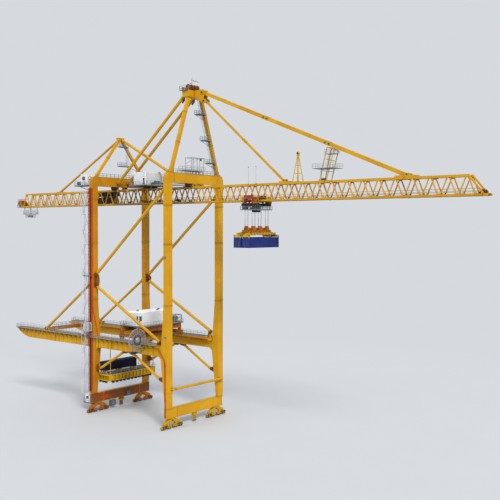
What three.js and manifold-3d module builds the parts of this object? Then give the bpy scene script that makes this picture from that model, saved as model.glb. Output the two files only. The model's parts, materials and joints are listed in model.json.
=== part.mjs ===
// Ship to shore container crane with a trolley on a trussed boom and a second
// trolley on the portal girders.  Scale model, 1:10.
// The sizes below are the full-size crane's, in metres: X runs along the boom
// and grows towards the water, Y runs along the quay, Z is up from the rail
// heads.  X = 0 is the landside leg line and Y = 0 the middle of the boom.
import * as THREE from 'three';
import { mergeVertices } from 'three/addons/utils/BufferGeometryUtils.js';
import Module from 'manifold-3d';

const wasm = await Module();
wasm.setup();

// ---------------------------------------------------------------- dimensions
const SCALE = 100;            // model millimetres for one full-size metre
const ORIGIN_X = 31.35;       // full-size place of the model's origin
const ORIGIN_Y = -2.16;
const GAP = 0.004;            // joint gap between pieces that touch

const GAUGE = 30.2;           // X of the waterside rail and legs
const LAND_X = -0.2;          // X of the landside rail and legs
const LEG_Y = 10.25;          // half the leg spacing along the quay
const LEG_WIDE = 2.0;         // leg box along the quay
const LEG_X = 1.4;            // leg box along the boom, upper part

const SILL_BOT = 2.8, SILL_TOP = 5.5;
const GIRDER_BOT = 19.3, GIRDER_TOP = 22.2;
const GIRDER_NOSE = -36.3;
const TOP_BOT = 66.0, TOP_TOP = 68.6;

const CHORD_LOW = 60.9, CHORD_UP = 65.0;
const CHORD_Y = 1.2;          // half the width between chord centres
const CHORD = 0.5;            // chord bar
const DIAGONAL = 0.24;        // bracing bar
const PANEL = 4.2, PANEL_START = -48.0;
const BOOM_TIP = 114.0, BACK_END = -51.3;

const APEX_Z = 90.3;
const PYLON_Z = 80.3;

const MAIN_TROLLEY_X = 52.1, LOAD_X = 52.2;
const PORTAL_TROLLEY_X = 13.3;
const LOAD_BOT = 48.85;

// -------------------------------------------------------------------- tools
const at = (x, y, z) => new THREE.Vector3((x - ORIGIN_X) * SCALE, (y - ORIGIN_Y) * SCALE, z * SCALE);

function clean(geometry) {
  const g = geometry.clone();
  g.deleteAttribute('normal');
  g.deleteAttribute('uv');
  return mergeVertices(g, 1e-3);
}

function solid(geometry) {
  const g = clean(geometry);
  const idx = Uint32Array.from(g.index.array);
  return new wasm.Manifold(new wasm.Mesh({
    numProp: 3, vertProperties: Float32Array.from(g.attributes.position.array), triVerts: idx,
  }));
}

function geometryOf(manifold) {
  const m = manifold.getMesh();
  const g = new THREE.BufferGeometry();
  g.setAttribute('position', new THREE.BufferAttribute(Float32Array.from(m.vertProperties), 3));
  g.setIndex(new THREE.BufferAttribute(Uint32Array.from(m.triVerts), 1));
  g.computeVertexNormals();
  return g;
}

function fuse(list) {
  let all = solid(list[0]);
  for (let i = 1; i < list.length; i++) all = all.add(solid(list[i]));
  return geometryOf(all);
}

function cut(base, tools) {
  let all = solid(base);
  for (const t of tools) all = all.subtract(solid(t));
  return geometryOf(all);
}

// box from its full-size limits
function box(x0, x1, y0, y1, z0, z1) {
  const g = new THREE.BoxGeometry((x1 - x0) * SCALE, (y1 - y0) * SCALE, (z1 - z0) * SCALE);
  const c = at((x0 + x1) / 2, (y0 + y1) / 2, (z0 + z1) / 2);
  g.translate(c.x, c.y, c.z);
  return g;
}

// bar between two points; wide is horizontal, deep is the other way
function bar(a, b, wide, deep) {
  const A = at(...a), B = at(...b);
  const d = B.clone().sub(A), len = d.length();
  d.normalize();
  const refUp = Math.abs(d.z) > 0.999 ? new THREE.Vector3(1, 0, 0) : new THREE.Vector3(0, 0, 1);
  const side = new THREE.Vector3().crossVectors(d, refUp).normalize();
  const up = new THREE.Vector3().crossVectors(side, d).normalize();
  const g = new THREE.BoxGeometry(wide * SCALE, len, deep * SCALE);
  const m = new THREE.Matrix4().makeBasis(side, d, up);
  g.applyMatrix4(m);
  const mid = A.add(B).multiplyScalar(0.5);
  g.translate(mid.x, mid.y, mid.z);
  return g;
}

// round bar between two points
function tube(a, b, radius, sides = 10, radiusB = radius) {
  const A = at(...a), B = at(...b);
  const d = B.clone().sub(A), len = d.length();
  const g = new THREE.CylinderGeometry(radiusB * SCALE, radius * SCALE, len, sides, 1);
  g.applyQuaternion(new THREE.Quaternion().setFromUnitVectors(new THREE.Vector3(0, 1, 0), d.clone().normalize()));
  const mid = A.add(B).multiplyScalar(0.5);
  g.translate(mid.x, mid.y, mid.z);
  return g;
}

// plate with an outline of [x, z] points, between two Y planes
function plateXZ(points, y0, y1) {
  const s = new THREE.Shape(points.map(([x, z]) => new THREE.Vector2((x - ORIGIN_X) * SCALE, z * SCALE)));
  const g = new THREE.ExtrudeGeometry(s, { depth: (y1 - y0) * SCALE, bevelEnabled: false });
  g.rotateX(Math.PI / 2);
  g.translate(0, (y1 - ORIGIN_Y) * SCALE, 0);
  return g;
}

// plate with an outline of [y, z] points, between two X planes
function plateYZ(points, x0, x1) {
  const s = new THREE.Shape(points.map(([y, z]) => new THREE.Vector2((y - ORIGIN_Y) * SCALE, z * SCALE)));
  const g = new THREE.ExtrudeGeometry(s, { depth: (x1 - x0) * SCALE, bevelEnabled: false });
  const m = new THREE.Matrix4().set(0, 0, 1, 0, 1, 0, 0, 0, 0, 1, 0, 0, 0, 0, 0, 1);
  g.applyMatrix4(m);
  g.translate((x0 - ORIGIN_X) * SCALE, 0, 0);
  return g;
}

// ---------------------------------------------------------------- materials
const paint = (color, roughness = 0.45, metalness = 0.2) => new THREE.MeshStandardMaterial({ color, roughness, metalness });
const YELLOW = paint(0xd9a514);
const ORANGE = paint(0xc9861a);
const RED = paint(0x8a2a1c);
const GREY = paint(0x8d9297, 0.5, 0.6);
const DARK = paint(0x3a3a3c, 0.6, 0.4);
const WHITE = paint(0xe6e8ea, 0.5, 0.1);
const BLUE = paint(0x1f3f8c, 0.5, 0.2);
const NAVY = paint(0x1b2440, 0.5, 0.2);
const STEEL = paint(0x6f7276, 0.4, 0.8);

const crane = new THREE.Group();
function add(name, geometry, material) {
  const g = clean(geometry);
  g.computeVertexNormals();
  const mesh = new THREE.Mesh(g, material);
  mesh.name = name;
  crane.add(mesh);
  return mesh;
}
const SIDES = [['near', -1], ['far', 1]];

// ------------------------------------------------------------- running gear
// One corner: an arched equaliser beam, two lower equalisers, four two-wheel
// bogies standing on the rail.
const WHEEL = 0.36;
function wheel(x, y) {
  // twelve flats, one of them on the rail
  const g = new THREE.CylinderGeometry(WHEEL / Math.cos(Math.PI / 12) * SCALE, WHEEL / Math.cos(Math.PI / 12) * SCALE, 0.4 * SCALE, 12, 1);
  g.rotateY(Math.PI / 12);
  g.rotateZ(Math.PI / 2);
  const c = at(x, y, WHEEL);
  g.translate(c.x, c.y, c.z);
  return g;
}
function bogieSet(x, side) {
  const c = side * 8.9;
  const parts = [];
  const arch = [[-3.1, 1.25], [-2.6, 1.95], [-1.0, 2.62], [1.0, 2.62], [2.6, 1.95], [3.1, 1.25],
    [1.25, 1.25], [0.7, 1.8], [-0.7, 1.8], [-1.25, 1.25]];
  parts.push(plateYZ(arch.map(([y, z]) => [y + c, z]), x - 0.3, x + 0.3));
  parts.push(box(x - 0.42, x + 0.42, c - 0.75, c + 0.75, 2.3, SILL_BOT - GAP));
  for (const s of [-1, 1]) {
    const m = c + s * 2.1;
    const low = [[-1.5, 0.75], [-1.5, 1.0], [-0.5, 1.35], [0.5, 1.35], [1.5, 1.0], [1.5, 0.75], [0.45, 0.75], [0.2, 0.95], [-0.2, 0.95], [-0.45, 0.75]];
    parts.push(plateYZ(low.map(([y, z]) => [y + m, z]), x - 0.26, x + 0.26));
    for (const t of [-1, 1]) {
      const b = m + t * 1.0;
      parts.push(box(x - 0.38, x + 0.38, b - 0.78, b + 0.78, 0.42, 0.86));
      for (const w of [-1, 1]) parts.push(wheel(x, b + w * 0.42));
    }
  }
  return fuse(parts);
}
for (const [rail, x] of [['waterside', GAUGE], ['landside', LAND_X]]) {
  for (const [name, side] of SIDES) add(`bogie_set_${rail}_${name}`, bogieSet(x, side), YELLOW);
}

// -------------------------------------------------------------- sill beams
for (const [rail, x] of [['waterside', GAUGE], ['landside', LAND_X]]) {
  const out = rail === 'waterside' ? 1 : -1;
  add(`sill_beam_${rail}`, fuse([
    box(x - 0.5, x + 0.5, -11.25, 11.25, SILL_BOT, SILL_TOP),
    box(x - 0.32, x + 0.32, -0.65, 0.85, 1.9, SILL_BOT + 0.1),
    box(x + out * 0.05 - 0.14, x + out * 0.05 + 0.14, -0.45, -0.05, 0.4, 2.0),
    box(x + out * 0.05 - 0.14, x + out * 0.05 + 0.14, 0.25, 0.65, 0.4, 2.0),
  ]), YELLOW);
}

// -------------------------------------------------------------------- legs
// The outer face is plumb; the inner face flares to a haunch at the portal
// girder and narrows again down to the sill beam.
function legOutline(x, inner) {
  const outer = x - inner * LEG_X / 2;
  const f = (w) => outer + inner * w;
  return [[outer, SILL_TOP + GAP], [f(0.95), SILL_TOP + GAP], [f(2.5), 18.6], [f(2.45), 20.5], [f(LEG_X), 32.5],
    [f(LEG_X), TOP_BOT - GAP], [outer, TOP_BOT - GAP]];
}
for (const [rail, x, inner] of [['waterside', GAUGE, -1], ['landside', LAND_X, 1]]) {
  for (const [name, side] of SIDES) {
    const y = side * LEG_Y;
    add(`leg_${rail}_${name}`, plateXZ(legOutline(x, inner), y - LEG_WIDE / 2, y + LEG_WIDE / 2), YELLOW);
  }
}

// ---------------------------------------------------------- portal girders
// A box girder each side, in line with the legs, with a rail beam along its
// inner face that runs past the landside leg.
const HAUNCH = 2.5 - LEG_X / 2;     // inner face of the leg at the girder, from its rail
function portalGirder(side) {
  const y = side * LEG_Y;
  const y0 = Math.min(y - side * 0.8, y + side * 0.8), y1 = Math.max(y - side * 0.8, y + side * 0.8);
  const back = plateXZ([[GIRDER_NOSE, GIRDER_TOP - 0.5], [GIRDER_NOSE + 0.15, GIRDER_TOP - 0.15], [GIRDER_NOSE + 0.6, GIRDER_TOP],
    [LAND_X - LEG_X / 2 - GAP, GIRDER_TOP], [LAND_X - LEG_X / 2 - GAP, GIRDER_BOT], [-30.6, GIRDER_BOT - 0.05], [-33.5, GIRDER_BOT + 0.5], [GIRDER_NOSE, GIRDER_TOP - 1.1]], y0, y1);
  const span = plateXZ([[LAND_X + HAUNCH + GAP, GIRDER_BOT], [GAUGE - HAUNCH - GAP, GIRDER_BOT], [GAUGE - HAUNCH - GAP, 20.5],
    [GAUGE - 1.65 - GAP, GIRDER_TOP], [LAND_X + 1.65 + GAP, GIRDER_TOP], [LAND_X + HAUNCH + GAP, 20.5]], y0, y1);
  const inner = side * (LEG_Y - LEG_WIDE / 2 - 0.1);           // clear of the leg
  const r0 = Math.min(inner, inner - side * 0.75), r1 = Math.max(inner, inner - side * 0.75);
  const rail = box(-35.6, 28.6, r0, r1, 21.45, 22.2);
  const w0 = Math.min(inner - side * 0.1, y), w1 = Math.max(inner - side * 0.1, y);
  const webs = [];
  for (const x of [-34, -28, -22.6, -16, -10, -4, 3.2, 9, 15, 21, 26.4]) webs.push(box(x - 0.15, x + 0.15, w0, w1, 21.3, 22.0));
  const stops = [];
  for (const x of [-19.9, 28.2]) stops.push(box(x - 0.2, x + 0.2, r0 + 0.1, r1 - 0.1, 22.1, 23.2));
  return fuse([back, span, rail, ...webs, ...stops]);
}
for (const [name, side] of SIDES) add(`portal_girder_${name}`, portalGirder(side), YELLOW);
add('backreach_cross_beam', box(-21.2, -20.2, -10.7, 10.7, GIRDER_TOP + GAP, 23.2), ORANGE);

// --------------------------------------------------------------- top beams
for (const [rail, x] of [['waterside', GAUGE], ['landside', LAND_X]]) {
  const outline = [[-11.25, TOP_BOT], [11.25, TOP_BOT], [11.25, TOP_BOT + 1.4], [10.65, TOP_TOP], [-10.65, TOP_TOP], [-11.25, TOP_BOT + 1.4]];
  const parts = [plateYZ(outline, x - 0.75, x + 0.75)];
  for (const s of [-1, 1]) parts.push(box(x - 0.45, x + 0.45, s * CHORD_Y - 0.18, s * CHORD_Y + 0.18, CHORD_UP + CHORD / 2 + GAP, TOP_BOT + 0.1));
  add(`top_beam_${rail}`, fuse(parts), YELLOW);
}

// ----------------------------------------------------------- side bracing
// Round tubes in the plane of each pair of legs.
const LAND_IN = LAND_X + LEG_X / 2, LAND_OUT = LAND_X - LEG_X / 2;
const K_BRACE = { near: [64.7, 40.0, 37.3, 22.6], far: [63.1, 38.8, 37.9, 23.5] };   // Z at the leg faces
// everything on the far side of a leg's inner face
function beyondLeg(x, inner, y) {
  const outer = x - inner * LEG_X / 2;
  return plateXZ(legOutline(x, inner).map(([px, pz]) => [Math.abs(px - outer) < 1e-6 ? px - inner * 3 : px + inner * GAP, pz]), y - 2, y + 2);
}
const line = (x0, z0, x1, z1, x) => z0 + (z1 - z0) * (x - x0) / (x1 - x0);
for (const [name, side] of SIDES) {
  const y = side * LEG_Y;
  const [za, zb, zc, zd] = K_BRACE[name];
  const a0 = LAND_IN, a1 = GAUGE - LEG_X / 2;
  // long diagonals that spread from the landside leg
  add(`k_brace_${name}`, cut(fuse([
    tube([a0 - 0.6, y, line(a0, zb, a1, za, a0 - 0.6)], [a1 + 0.6, y, line(a0, zb, a1, za, a1 + 0.6)], 0.42, 10),
    tube([a0 - 0.6, y, line(a0, zc, 28, zd, a0 - 0.6)], [29.4, y, line(a0, zc, 28, zd, 29.4)], 0.42, 10),
    box(a0 + GAP, a0 + 1.0, y - 0.2, y + 0.2, zc - 1.4, zb + 1.6),
  ]), [beyondLeg(LAND_X, 1, y), beyondLeg(GAUGE, -1, y), box(0, 40, y - 2, y + 2, 15, GIRDER_TOP + GAP)]), YELLOW);
  add(`backreach_stay_${name}`, cut(tube([0.0, y, 38.6], [-24.5, y, 21.6], 0.38, 10),
    [box(LAND_OUT - GAP, 5, y - 2, y + 2, 30, 45), box(-40, 0, y - 2, y + 2, 15, GIRDER_TOP + GAP)]), YELLOW);
  add(`knee_brace_${name}`, cut(fuse([
    tube([13.3, y, 19.3], [-0.4, y, 11.4], 0.36, 10), tube([15.9, y, 19.3], [30.2, y, 11.35], 0.36, 10),
    box(12.2, 17.0, y - 0.3, y + 0.3, 18.8, GIRDER_BOT - GAP),
  ]), [box(-5, 40, y - 2, y + 2, GIRDER_BOT - GAP, 30), beyondLeg(LAND_X, 1, y), beyondLeg(GAUGE, -1, y)]), YELLOW);
}

// tie pipe across the waterside legs
add('waterside_tie_pipe', fuse([
  tube([GAUGE + 1.25, -8.6, 10.7], [GAUGE + 1.25, 10.4, 10.7], 0.38, 12),
  box(GAUGE + LEG_X / 2 + GAP, GAUGE + 1.3, 9.3, 10.1, 10.35, 11.05),
  box(GAUGE + LEG_X / 2 + GAP, GAUGE + 1.3, -9.9, -8.5, 10.45, 10.95),
]), YELLOW);

// ------------------------------------------------------------------ A-frame
const headPlate = [[GAUGE - 0.4, APEX_Z + 1.0], [GAUGE + 0.74, APEX_Z + 1.05], [GAUGE + 2.6, APEX_Z + 1.15], [GAUGE + 4.2, APEX_Z + 0.95], [GAUGE + 4.5, APEX_Z - 0.1],
  [GAUGE + 4.0, APEX_Z - 1.2], [GAUGE + 4.8, APEX_Z - 1.55], [GAUGE + 4.9, APEX_Z - 2.5], [GAUGE + 4.0, APEX_Z - 2.6], [GAUGE + 0.6, APEX_Z - 0.5]];
const OUTER_PIN = [GAUGE + 3.7, APEX_Z + 0.3], INNER_PIN = [GAUGE + 4.3, APEX_Z - 2.0];
const FRAME_X = GAUGE + 0.02;
add('a_frame', cut(fuse([
  bar([FRAME_X, -9.5, 68.0], [FRAME_X, -2.0, APEX_Z + 0.2], 0.85, 0.9),
  bar([FRAME_X, 9.7, 68.0], [FRAME_X, 2.4, APEX_Z + 0.2], 0.85, 0.9),
  box(GAUGE - 1.7, GAUGE + 0.75, -3.0, 3.2, APEX_Z - 0.7, APEX_Z + 1.1),
  plateXZ(headPlate, -0.85, -0.6), plateXZ(headPlate, 0.6, 0.85),
  tube([OUTER_PIN[0], -1.0, OUTER_PIN[1]], [OUTER_PIN[0], 1.0, OUTER_PIN[1]], 0.22, 10),
  tube([INNER_PIN[0], -1.0, INNER_PIN[1]], [INNER_PIN[0], 1.0, INNER_PIN[1]], 0.22, 10),
]), [box(GAUGE - 3, GAUGE + 3, -14, 14, 60, TOP_TOP + GAP)]), YELLOW);
for (const [name, side] of SIDES) {
  const y = side * 1.95;
  add(`backstay_${name}`, cut(tube([GAUGE - 0.9, side * 1.95, APEX_Z + 0.7], [LAND_X + 0.3, y, 66.3], 0.44, 10),
    [box(GAUGE - 1.7 - GAP, GAUGE + 4, -5, 5, 80, 100), box(-2, LAND_X + 0.75 + GAP, -5, 5, 60, 70)]), YELLOW);
}
// platform, sheave blocks and mast on the apex
const APEX_TOP = APEX_Z + 1.1;
add('apex_platform', fuse([
  box(GAUGE - 2.4, GAUGE + 0.7, -3.6, 3.7, APEX_TOP + GAP, APEX_TOP + 0.15),
  ...[-1.9, -0.7, 0.5, 1.7].map((y) => tube([GAUGE - 0.6, y - 0.22, APEX_TOP + 0.85], [GAUGE - 0.6, y + 0.22, APEX_TOP + 0.85], 0.85, 14)),
  box(GAUGE - 0.75, GAUGE - 0.45, -2.4, 2.2, APEX_TOP + 0.1, APEX_TOP + 1.0),
  box(GAUGE - 0.68, GAUGE - 0.52, -0.43, -0.27, APEX_TOP + 0.1, 95.2),
  box(GAUGE - 0.66, GAUGE - 0.54, -0.6, 2.2, 94.5, 94.65),
]), GREY);

// --------------------------------------------------------- landside pylon
const CHORD_TOP = CHORD_UP + CHORD / 2 + GAP;
add('landside_pylon', cut(fuse([
  bar([LAND_X, -9.8, 68.2], [LAND_X, -0.35, PYLON_Z], 0.7, 0.75),
  bar([LAND_X, 9.8, 68.2], [LAND_X, 0.35, PYLON_Z], 0.7, 0.75),
  box(LAND_X - 0.5, LAND_X + 0.5, -0.9, 0.9, PYLON_Z - 0.7, PYLON_Z + 0.5),
]), [box(-3, 3, -14, 14, 60, TOP_TOP + GAP)]), YELLOW);
add('pylon_back_tie', fuse([
  cut(tube([LAND_X, 0, PYLON_Z + 0.1], [-29.1, 0, CHORD_UP + 0.35], 0.33, 8), [box(LAND_X - 0.5 - GAP, 3, -2, 2, 70, 90), box(-40, 0, -3, 3, 55, CHORD_TOP)]),
  box(-29.5, -28.3, -1.4, 1.4, CHORD_TOP, CHORD_TOP + 0.35),
]), YELLOW);
add('pylon_forward_tie', fuse([
  cut(tube([LAND_X, 0, PYLON_Z + 0.1], [28.6, 0, CHORD_UP + 0.3], 0.4, 8), [box(-3, LAND_X + 0.5 + GAP, -2, 2, 70, 90), box(20, 34, -3, 3, 55, CHORD_TOP), box(28.9, 34, -3, 3, 55, 70)]),
  box(27.2, 28.9, -1.4, 1.4, CHORD_TOP, CHORD_TOP + 0.35),
]), YELLOW);

// --------------------------------------------------------------- forestays
add('forestay_outer', fuse([
  cut(bar([OUTER_PIN[0], 0, OUTER_PIN[1]], [96.6, 0, 65.0], 0.9, 0.9), [box(80, 120, -3, 3, 50, CHORD_TOP),
    tube([OUTER_PIN[0], -3, OUTER_PIN[1]], [OUTER_PIN[0], 3, OUTER_PIN[1]], 0.22 + GAP, 10), box(GAUGE + 3, OUTER_PIN[0], -3, 3, 80, 100)]),
  box(92.6, 97.4, -1.45, 1.45, CHORD_TOP, CHORD_TOP + 0.4),
]), YELLOW);
add('forestay_inner', fuse([
  cut(bar([INNER_PIN[0], 0, INNER_PIN[1]], [61.9, 0, 64.9], 0.5, 0.5), [box(50, 70, -3, 3, 50, CHORD_TOP), tube([INNER_PIN[0], -3, INNER_PIN[1]], [INNER_PIN[0], 3, INNER_PIN[1]], 0.22 + GAP, 10), box(GAUGE + 3, INNER_PIN[0], -3, 3, 80, 100)]),
  box(60.4, 62.6, -1.4, 1.4, CHORD_TOP, CHORD_TOP + 0.35),
]), YELLOW);
add('boom_stay_rest', fuse([
  ...[[64.3, -1.05], [64.3, 1.05], [66.1, -1.05], [66.1, 1.05]].map(([x, y]) => bar([x, y, CHORD_TOP + 0.12], [65.25, 0, 72.2], 0.2, 0.2)),
  box(65.1, 65.4, -0.15, 0.15, 71.2, 72.8),
  box(64.05, 66.35, -1.3, 1.3, CHORD_TOP, CHORD_TOP + 0.16),
]), YELLOW);
add('stay_support_tower', fuse([
  bar([72.4, -1.15, CHORD_TOP + 0.05], [74.4, -1.0, 73.2], 0.2, 0.2), bar([72.4, 1.15, CHORD_TOP + 0.05], [74.4, 1.0, 73.2], 0.2, 0.2),
  bar([74.3, -1.15, CHORD_TOP + 0.05], [76.3, -1.0, 72.4], 0.2, 0.2), bar([74.3, 1.15, CHORD_TOP + 0.05], [76.3, 1.0, 72.4], 0.2, 0.2),
  bar([74.4, -1.1, 73.1], [76.3, -1.0, 72.4], 0.2, 0.2), bar([74.4, 1.1, 73.1], [76.3, 1.0, 72.4], 0.2, 0.2),
  box(70.9, 76.9, -2.2, 2.2, 68.1, 68.25),
  box(72.1, 74.8, -1.35, 1.35, CHORD_TOP, CHORD_TOP + 0.14),
]), GREY);

// -------------------------------------------------------------- boom truss
// Box truss of two lower and two upper chords with zigzag bracing on both
// sides; the lower chords carry the trolley rails on their outer sides.
function truss(i0, i1, xa, xb) {
  const parts = [];
  const low = (i) => PANEL_START + PANEL * i, high = (i) => low(i) + PANEL / 2;
  for (const s of [-1, 1]) {
    const y = s * CHORD_Y;
    parts.push(box(xa.low, xb.low, y - CHORD / 2, y + CHORD / 2, CHORD_LOW - CHORD / 2, CHORD_LOW + CHORD / 2));
    parts.push(box(xa.high, xb.high, y - CHORD / 2, y + CHORD / 2, CHORD_UP - CHORD / 2, CHORD_UP + CHORD / 2));
    const r0 = Math.min(y + s * 0.2, y + s * 0.6), r1 = Math.max(y + s * 0.2, y + s * 0.6);
    parts.push(box(xa.low + 0.3, xb.low - 0.3, r0, r1, CHORD_LOW - 0.18, CHORD_LOW + 0.1));
    for (let i = i0; i < i1; i++) {
      parts.push(bar([low(i) + 0.24, y, CHORD_LOW], [high(i) - 0.16, y, CHORD_UP], DIAGONAL, DIAGONAL));
      parts.push(bar([high(i) + 0.16, y, CHORD_UP], [low(i + 1) - 0.24, y, CHORD_LOW], DIAGONAL, DIAGONAL));
    }
  }
  const y0 = -CHORD_Y, y1 = CHORD_Y;
  for (let i = i0; i < i1; i++) {
    parts.push(box(high(i) - 0.1, high(i) + 0.1, y0, y1, CHORD_UP - 0.1, CHORD_UP + 0.1));
    if (i > i0) parts.push(box(low(i) - 0.1, low(i) + 0.1, y0, y1, CHORD_LOW - 0.1, CHORD_LOW + 0.1));
  }
  return parts;
}
const lowNode = (i) => PANEL_START + PANEL * i;
function ends(i0, i1) {
  return [{ low: lowNode(i0) + GAP / 2, high: lowNode(i0) + GAP / 2 }, { low: lowNode(i1) - GAP / 2, high: lowNode(i1) - GAP / 2 }];
}
{
  let [a, b] = ends(0, 11);
  a = { low: PANEL_START - 0.6, high: PANEL_START + 2.0 };
  add('truss_backreach', fuse([...truss(0, 11, a, b), box(a.low, a.low + 0.3, -CHORD_Y, CHORD_Y, CHORD_LOW - 0.2, CHORD_LOW + 0.2)]), YELLOW);
  [a, b] = ends(11, 19);
  add('truss_middle', fuse(truss(11, 19, a, b)), YELLOW);
  [a, b] = ends(19, 29);
  add('truss_boom_inner', fuse(truss(19, 29, a, b)), YELLOW);
  [a, b] = ends(29, 38);
  b = { low: 113.3, high: 110.0 };
  const tip = [];
  for (const s of [-1, 1]) {
    tip.push(bar([109.8, s * CHORD_Y, CHORD_UP], [113.2, s * CHORD_Y, CHORD_LOW + 0.1], 0.34, 0.34));
    tip.push(box(113.0, BOOM_TIP, s * CHORD_Y - 0.22, s * CHORD_Y + 0.22, CHORD_LOW - 0.22, CHORD_LOW + 0.22));
  }
  tip.push(box(113.0, 113.3, -CHORD_Y, CHORD_Y, CHORD_LOW - 0.2, CHORD_LOW + 0.2));
  add('truss_boom_outer', fuse([...truss(29, 38, a, b), ...tip]), YELLOW);
}
// hanging gallery under the landside end, and the rope sheave block behind it
add('landside_end_gallery', fuse([
  box(-47.5, -43.2, -1.7, 1.7, 58.4, 58.6),
  ...[-47.3, -43.5].flatMap((x) => [-1.35, 1.05].map((y) => box(x - 0.1, x + 0.1, y, y + 0.3, 58.5, CHORD_LOW - CHORD / 2 - GAP))),
  box(-46.6, -44.6, -1.2, 1.2, 57.3, 58.45),
]), GREY);
add('landside_sheave_block', fuse([
  box(-50.2, PANEL_START - 0.6 - GAP, -1.5, 1.5, 60.7, 61.2),
  box(-50.9, -49.0, -1.3, -1.1, 60.8, 63.2), box(-50.9, -49.0, 1.1, 1.3, 60.8, 63.2), box(-50.9, -49.0, -0.1, 0.1, 60.8, 63.2),
  ...[-0.6, 0.6].flatMap((y) => [[-50.3, 62.3], [-49.3, 61.7]].map(([x, z]) => tube([x, y - 0.42, z], [x, y + 0.42, z], x < -50 ? -BACK_END - 50.3 : 0.7, 16))),
  tube([-50.3, -1.2, 62.3], [-50.3, 1.2, 62.3], 0.2, 8), tube([-49.3, -1.2, 61.7], [-49.3, 1.2, 61.7], 0.2, 8),
]), ORANGE);

// --------------------------------------------------------------- houses
add('machinery_house', box(10.4, 15.2, -4.3, 4.4, 66.1, 69.8), WHITE);
add('machinery_house_deck', fuse([
  box(8.8, 16.6, -5.0, 5.0, 65.86, 66.1 - GAP), box(11.0, 11.5, -1.6, 1.6, CHORD_TOP, 65.9), box(14.1, 14.6, -1.6, 1.6, CHORD_TOP, 65.9),
]), GREY);
add('landside_cabin', fuse([
  box(-5.2, -2.5, -10.9, -9.0, 66.3, 69.6), box(-7.8, LAND_X - 0.75 - GAP, -11.2, -8.6, 66.05, 66.35),
]), WHITE);

// ------------------------------------------------------------ access ways
// lift mast on the outer face of the near landside leg
add('lift_mast', box(-0.85, -0.25, -LEG_Y - 1.55, -LEG_Y - LEG_WIDE / 2 - GAP, 6.2, 65.4), RED);
// zigzag stair tower
{
  const parts = [];
  const x0 = -3.1, x1 = -1.1, ya = -12.6, yb = -11.45, z0 = 5.6, flight = 2.9, n = 20;
  for (const x of [x0, x1]) for (const y of [ya, yb]) parts.push(box(x - 0.07, x + 0.07, y - 0.07, y + 0.07, z0, z0 + flight * n + 1.2));
  for (let k = 0; k <= n; k++) {
    const left = k % 2 === 0;
    const z = z0 + flight * k;
    parts.push(box(left ? x0 - 0.05 : x1 - 0.6, left ? x0 + 0.6 : x1 + 0.05, ya - 0.05, yb + 0.05, z, z + 0.08));
    if (k < n) {
      const y = left ? ya + 0.3 : yb - 0.3;
      parts.push(bar([left ? x0 + 0.5 : x1 - 0.5, y, z + 0.03], [left ? x1 - 0.5 : x0 + 0.5, y, z + flight + 0.03], 0.5, 0.1));
    }
  }
  for (const z of [14, 26, 38, 50, 62]) parts.push(box(x1 - 0.1, -0.85 - GAP, yb - 0.15, yb, z, z + 0.15));
  add('stair_tower', fuse(parts), GREY);
}
add('base_cabin', fuse([box(-3.7, -1.9, -10.7, -9.2, 2.55, 4.9), box(-4.4, LAND_X - 0.5 - GAP, -10.95, -9.0, 2.3, 2.6)]), WHITE);
add('portal_level_cabin', fuse([box(-4.4, -2.2, -10.8, -9.1, 22.5, 25.8), box(-5.2, -1.0, -10.9, -9.0, GIRDER_TOP + GAP, 22.52)]), WHITE);

// monospiral cable reel, its plane along the quay
const REEL = { y: -14.0, z: 23.6, r: 3.1 };
add('cable_reel', cut(fuse([
  tube([22.1, REEL.y, REEL.z], [22.5, REEL.y, REEL.z], REEL.r, 32),
  tube([21.2, REEL.y, REEL.z], [22.9, REEL.y, REEL.z], 0.7, 14),
  box(21.0, 21.9, REEL.y - 0.4, -LEG_Y - 0.8 - GAP, 20.6, 21.4), box(21.2, 21.8, REEL.y - 0.3, REEL.y + 0.3, 20.6, REEL.z),
]), [0, 1, 2, 3, 4, 5].map((k) => { const a = k * Math.PI / 3, c = REEL.y + 1.85 * Math.cos(a), h = REEL.z + 1.85 * Math.sin(a); return tube([21.95, c, h], [22.8, c, h], 0.6, 8); })), GREY);

// ------------------------------------------------------- lashing platform
const P_END = LEG_Y - LEG_WIDE / 2 - GAP, P_BOT = 9.4, P_TOP = 11.2;
add('lashing_platform', fuse([
  box(-0.6, 5.1, -P_END, -7.7, P_BOT, P_TOP), box(-0.6, 5.1, 7.7, P_END, P_BOT, P_TOP),
  box(-0.6, 0.3, -8.0, 8.0, P_BOT, P_TOP), box(4.2, 5.1, -8.0, 8.0, P_BOT, P_TOP),
  box(0.2, 4.3, -8.0, 8.0, 10.7, 11.0),
  ...[-8.5, -2.65, 3.0].map((y) => box(0.45, 3.0, y, y + 0.45, 10.9, 12.1)),
  box(4.8, 5.0, -8.6, -8.4, P_TOP - 0.1, 21.45 - GAP), box(4.8, 5.0, 8.4, 8.6, P_TOP - 0.1, 21.45 - GAP),
]), YELLOW);
add('platform_container', box(0.5, 2.94, -8.7, 3.49, 12.1 + GAP, 14.7), NAVY);

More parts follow.
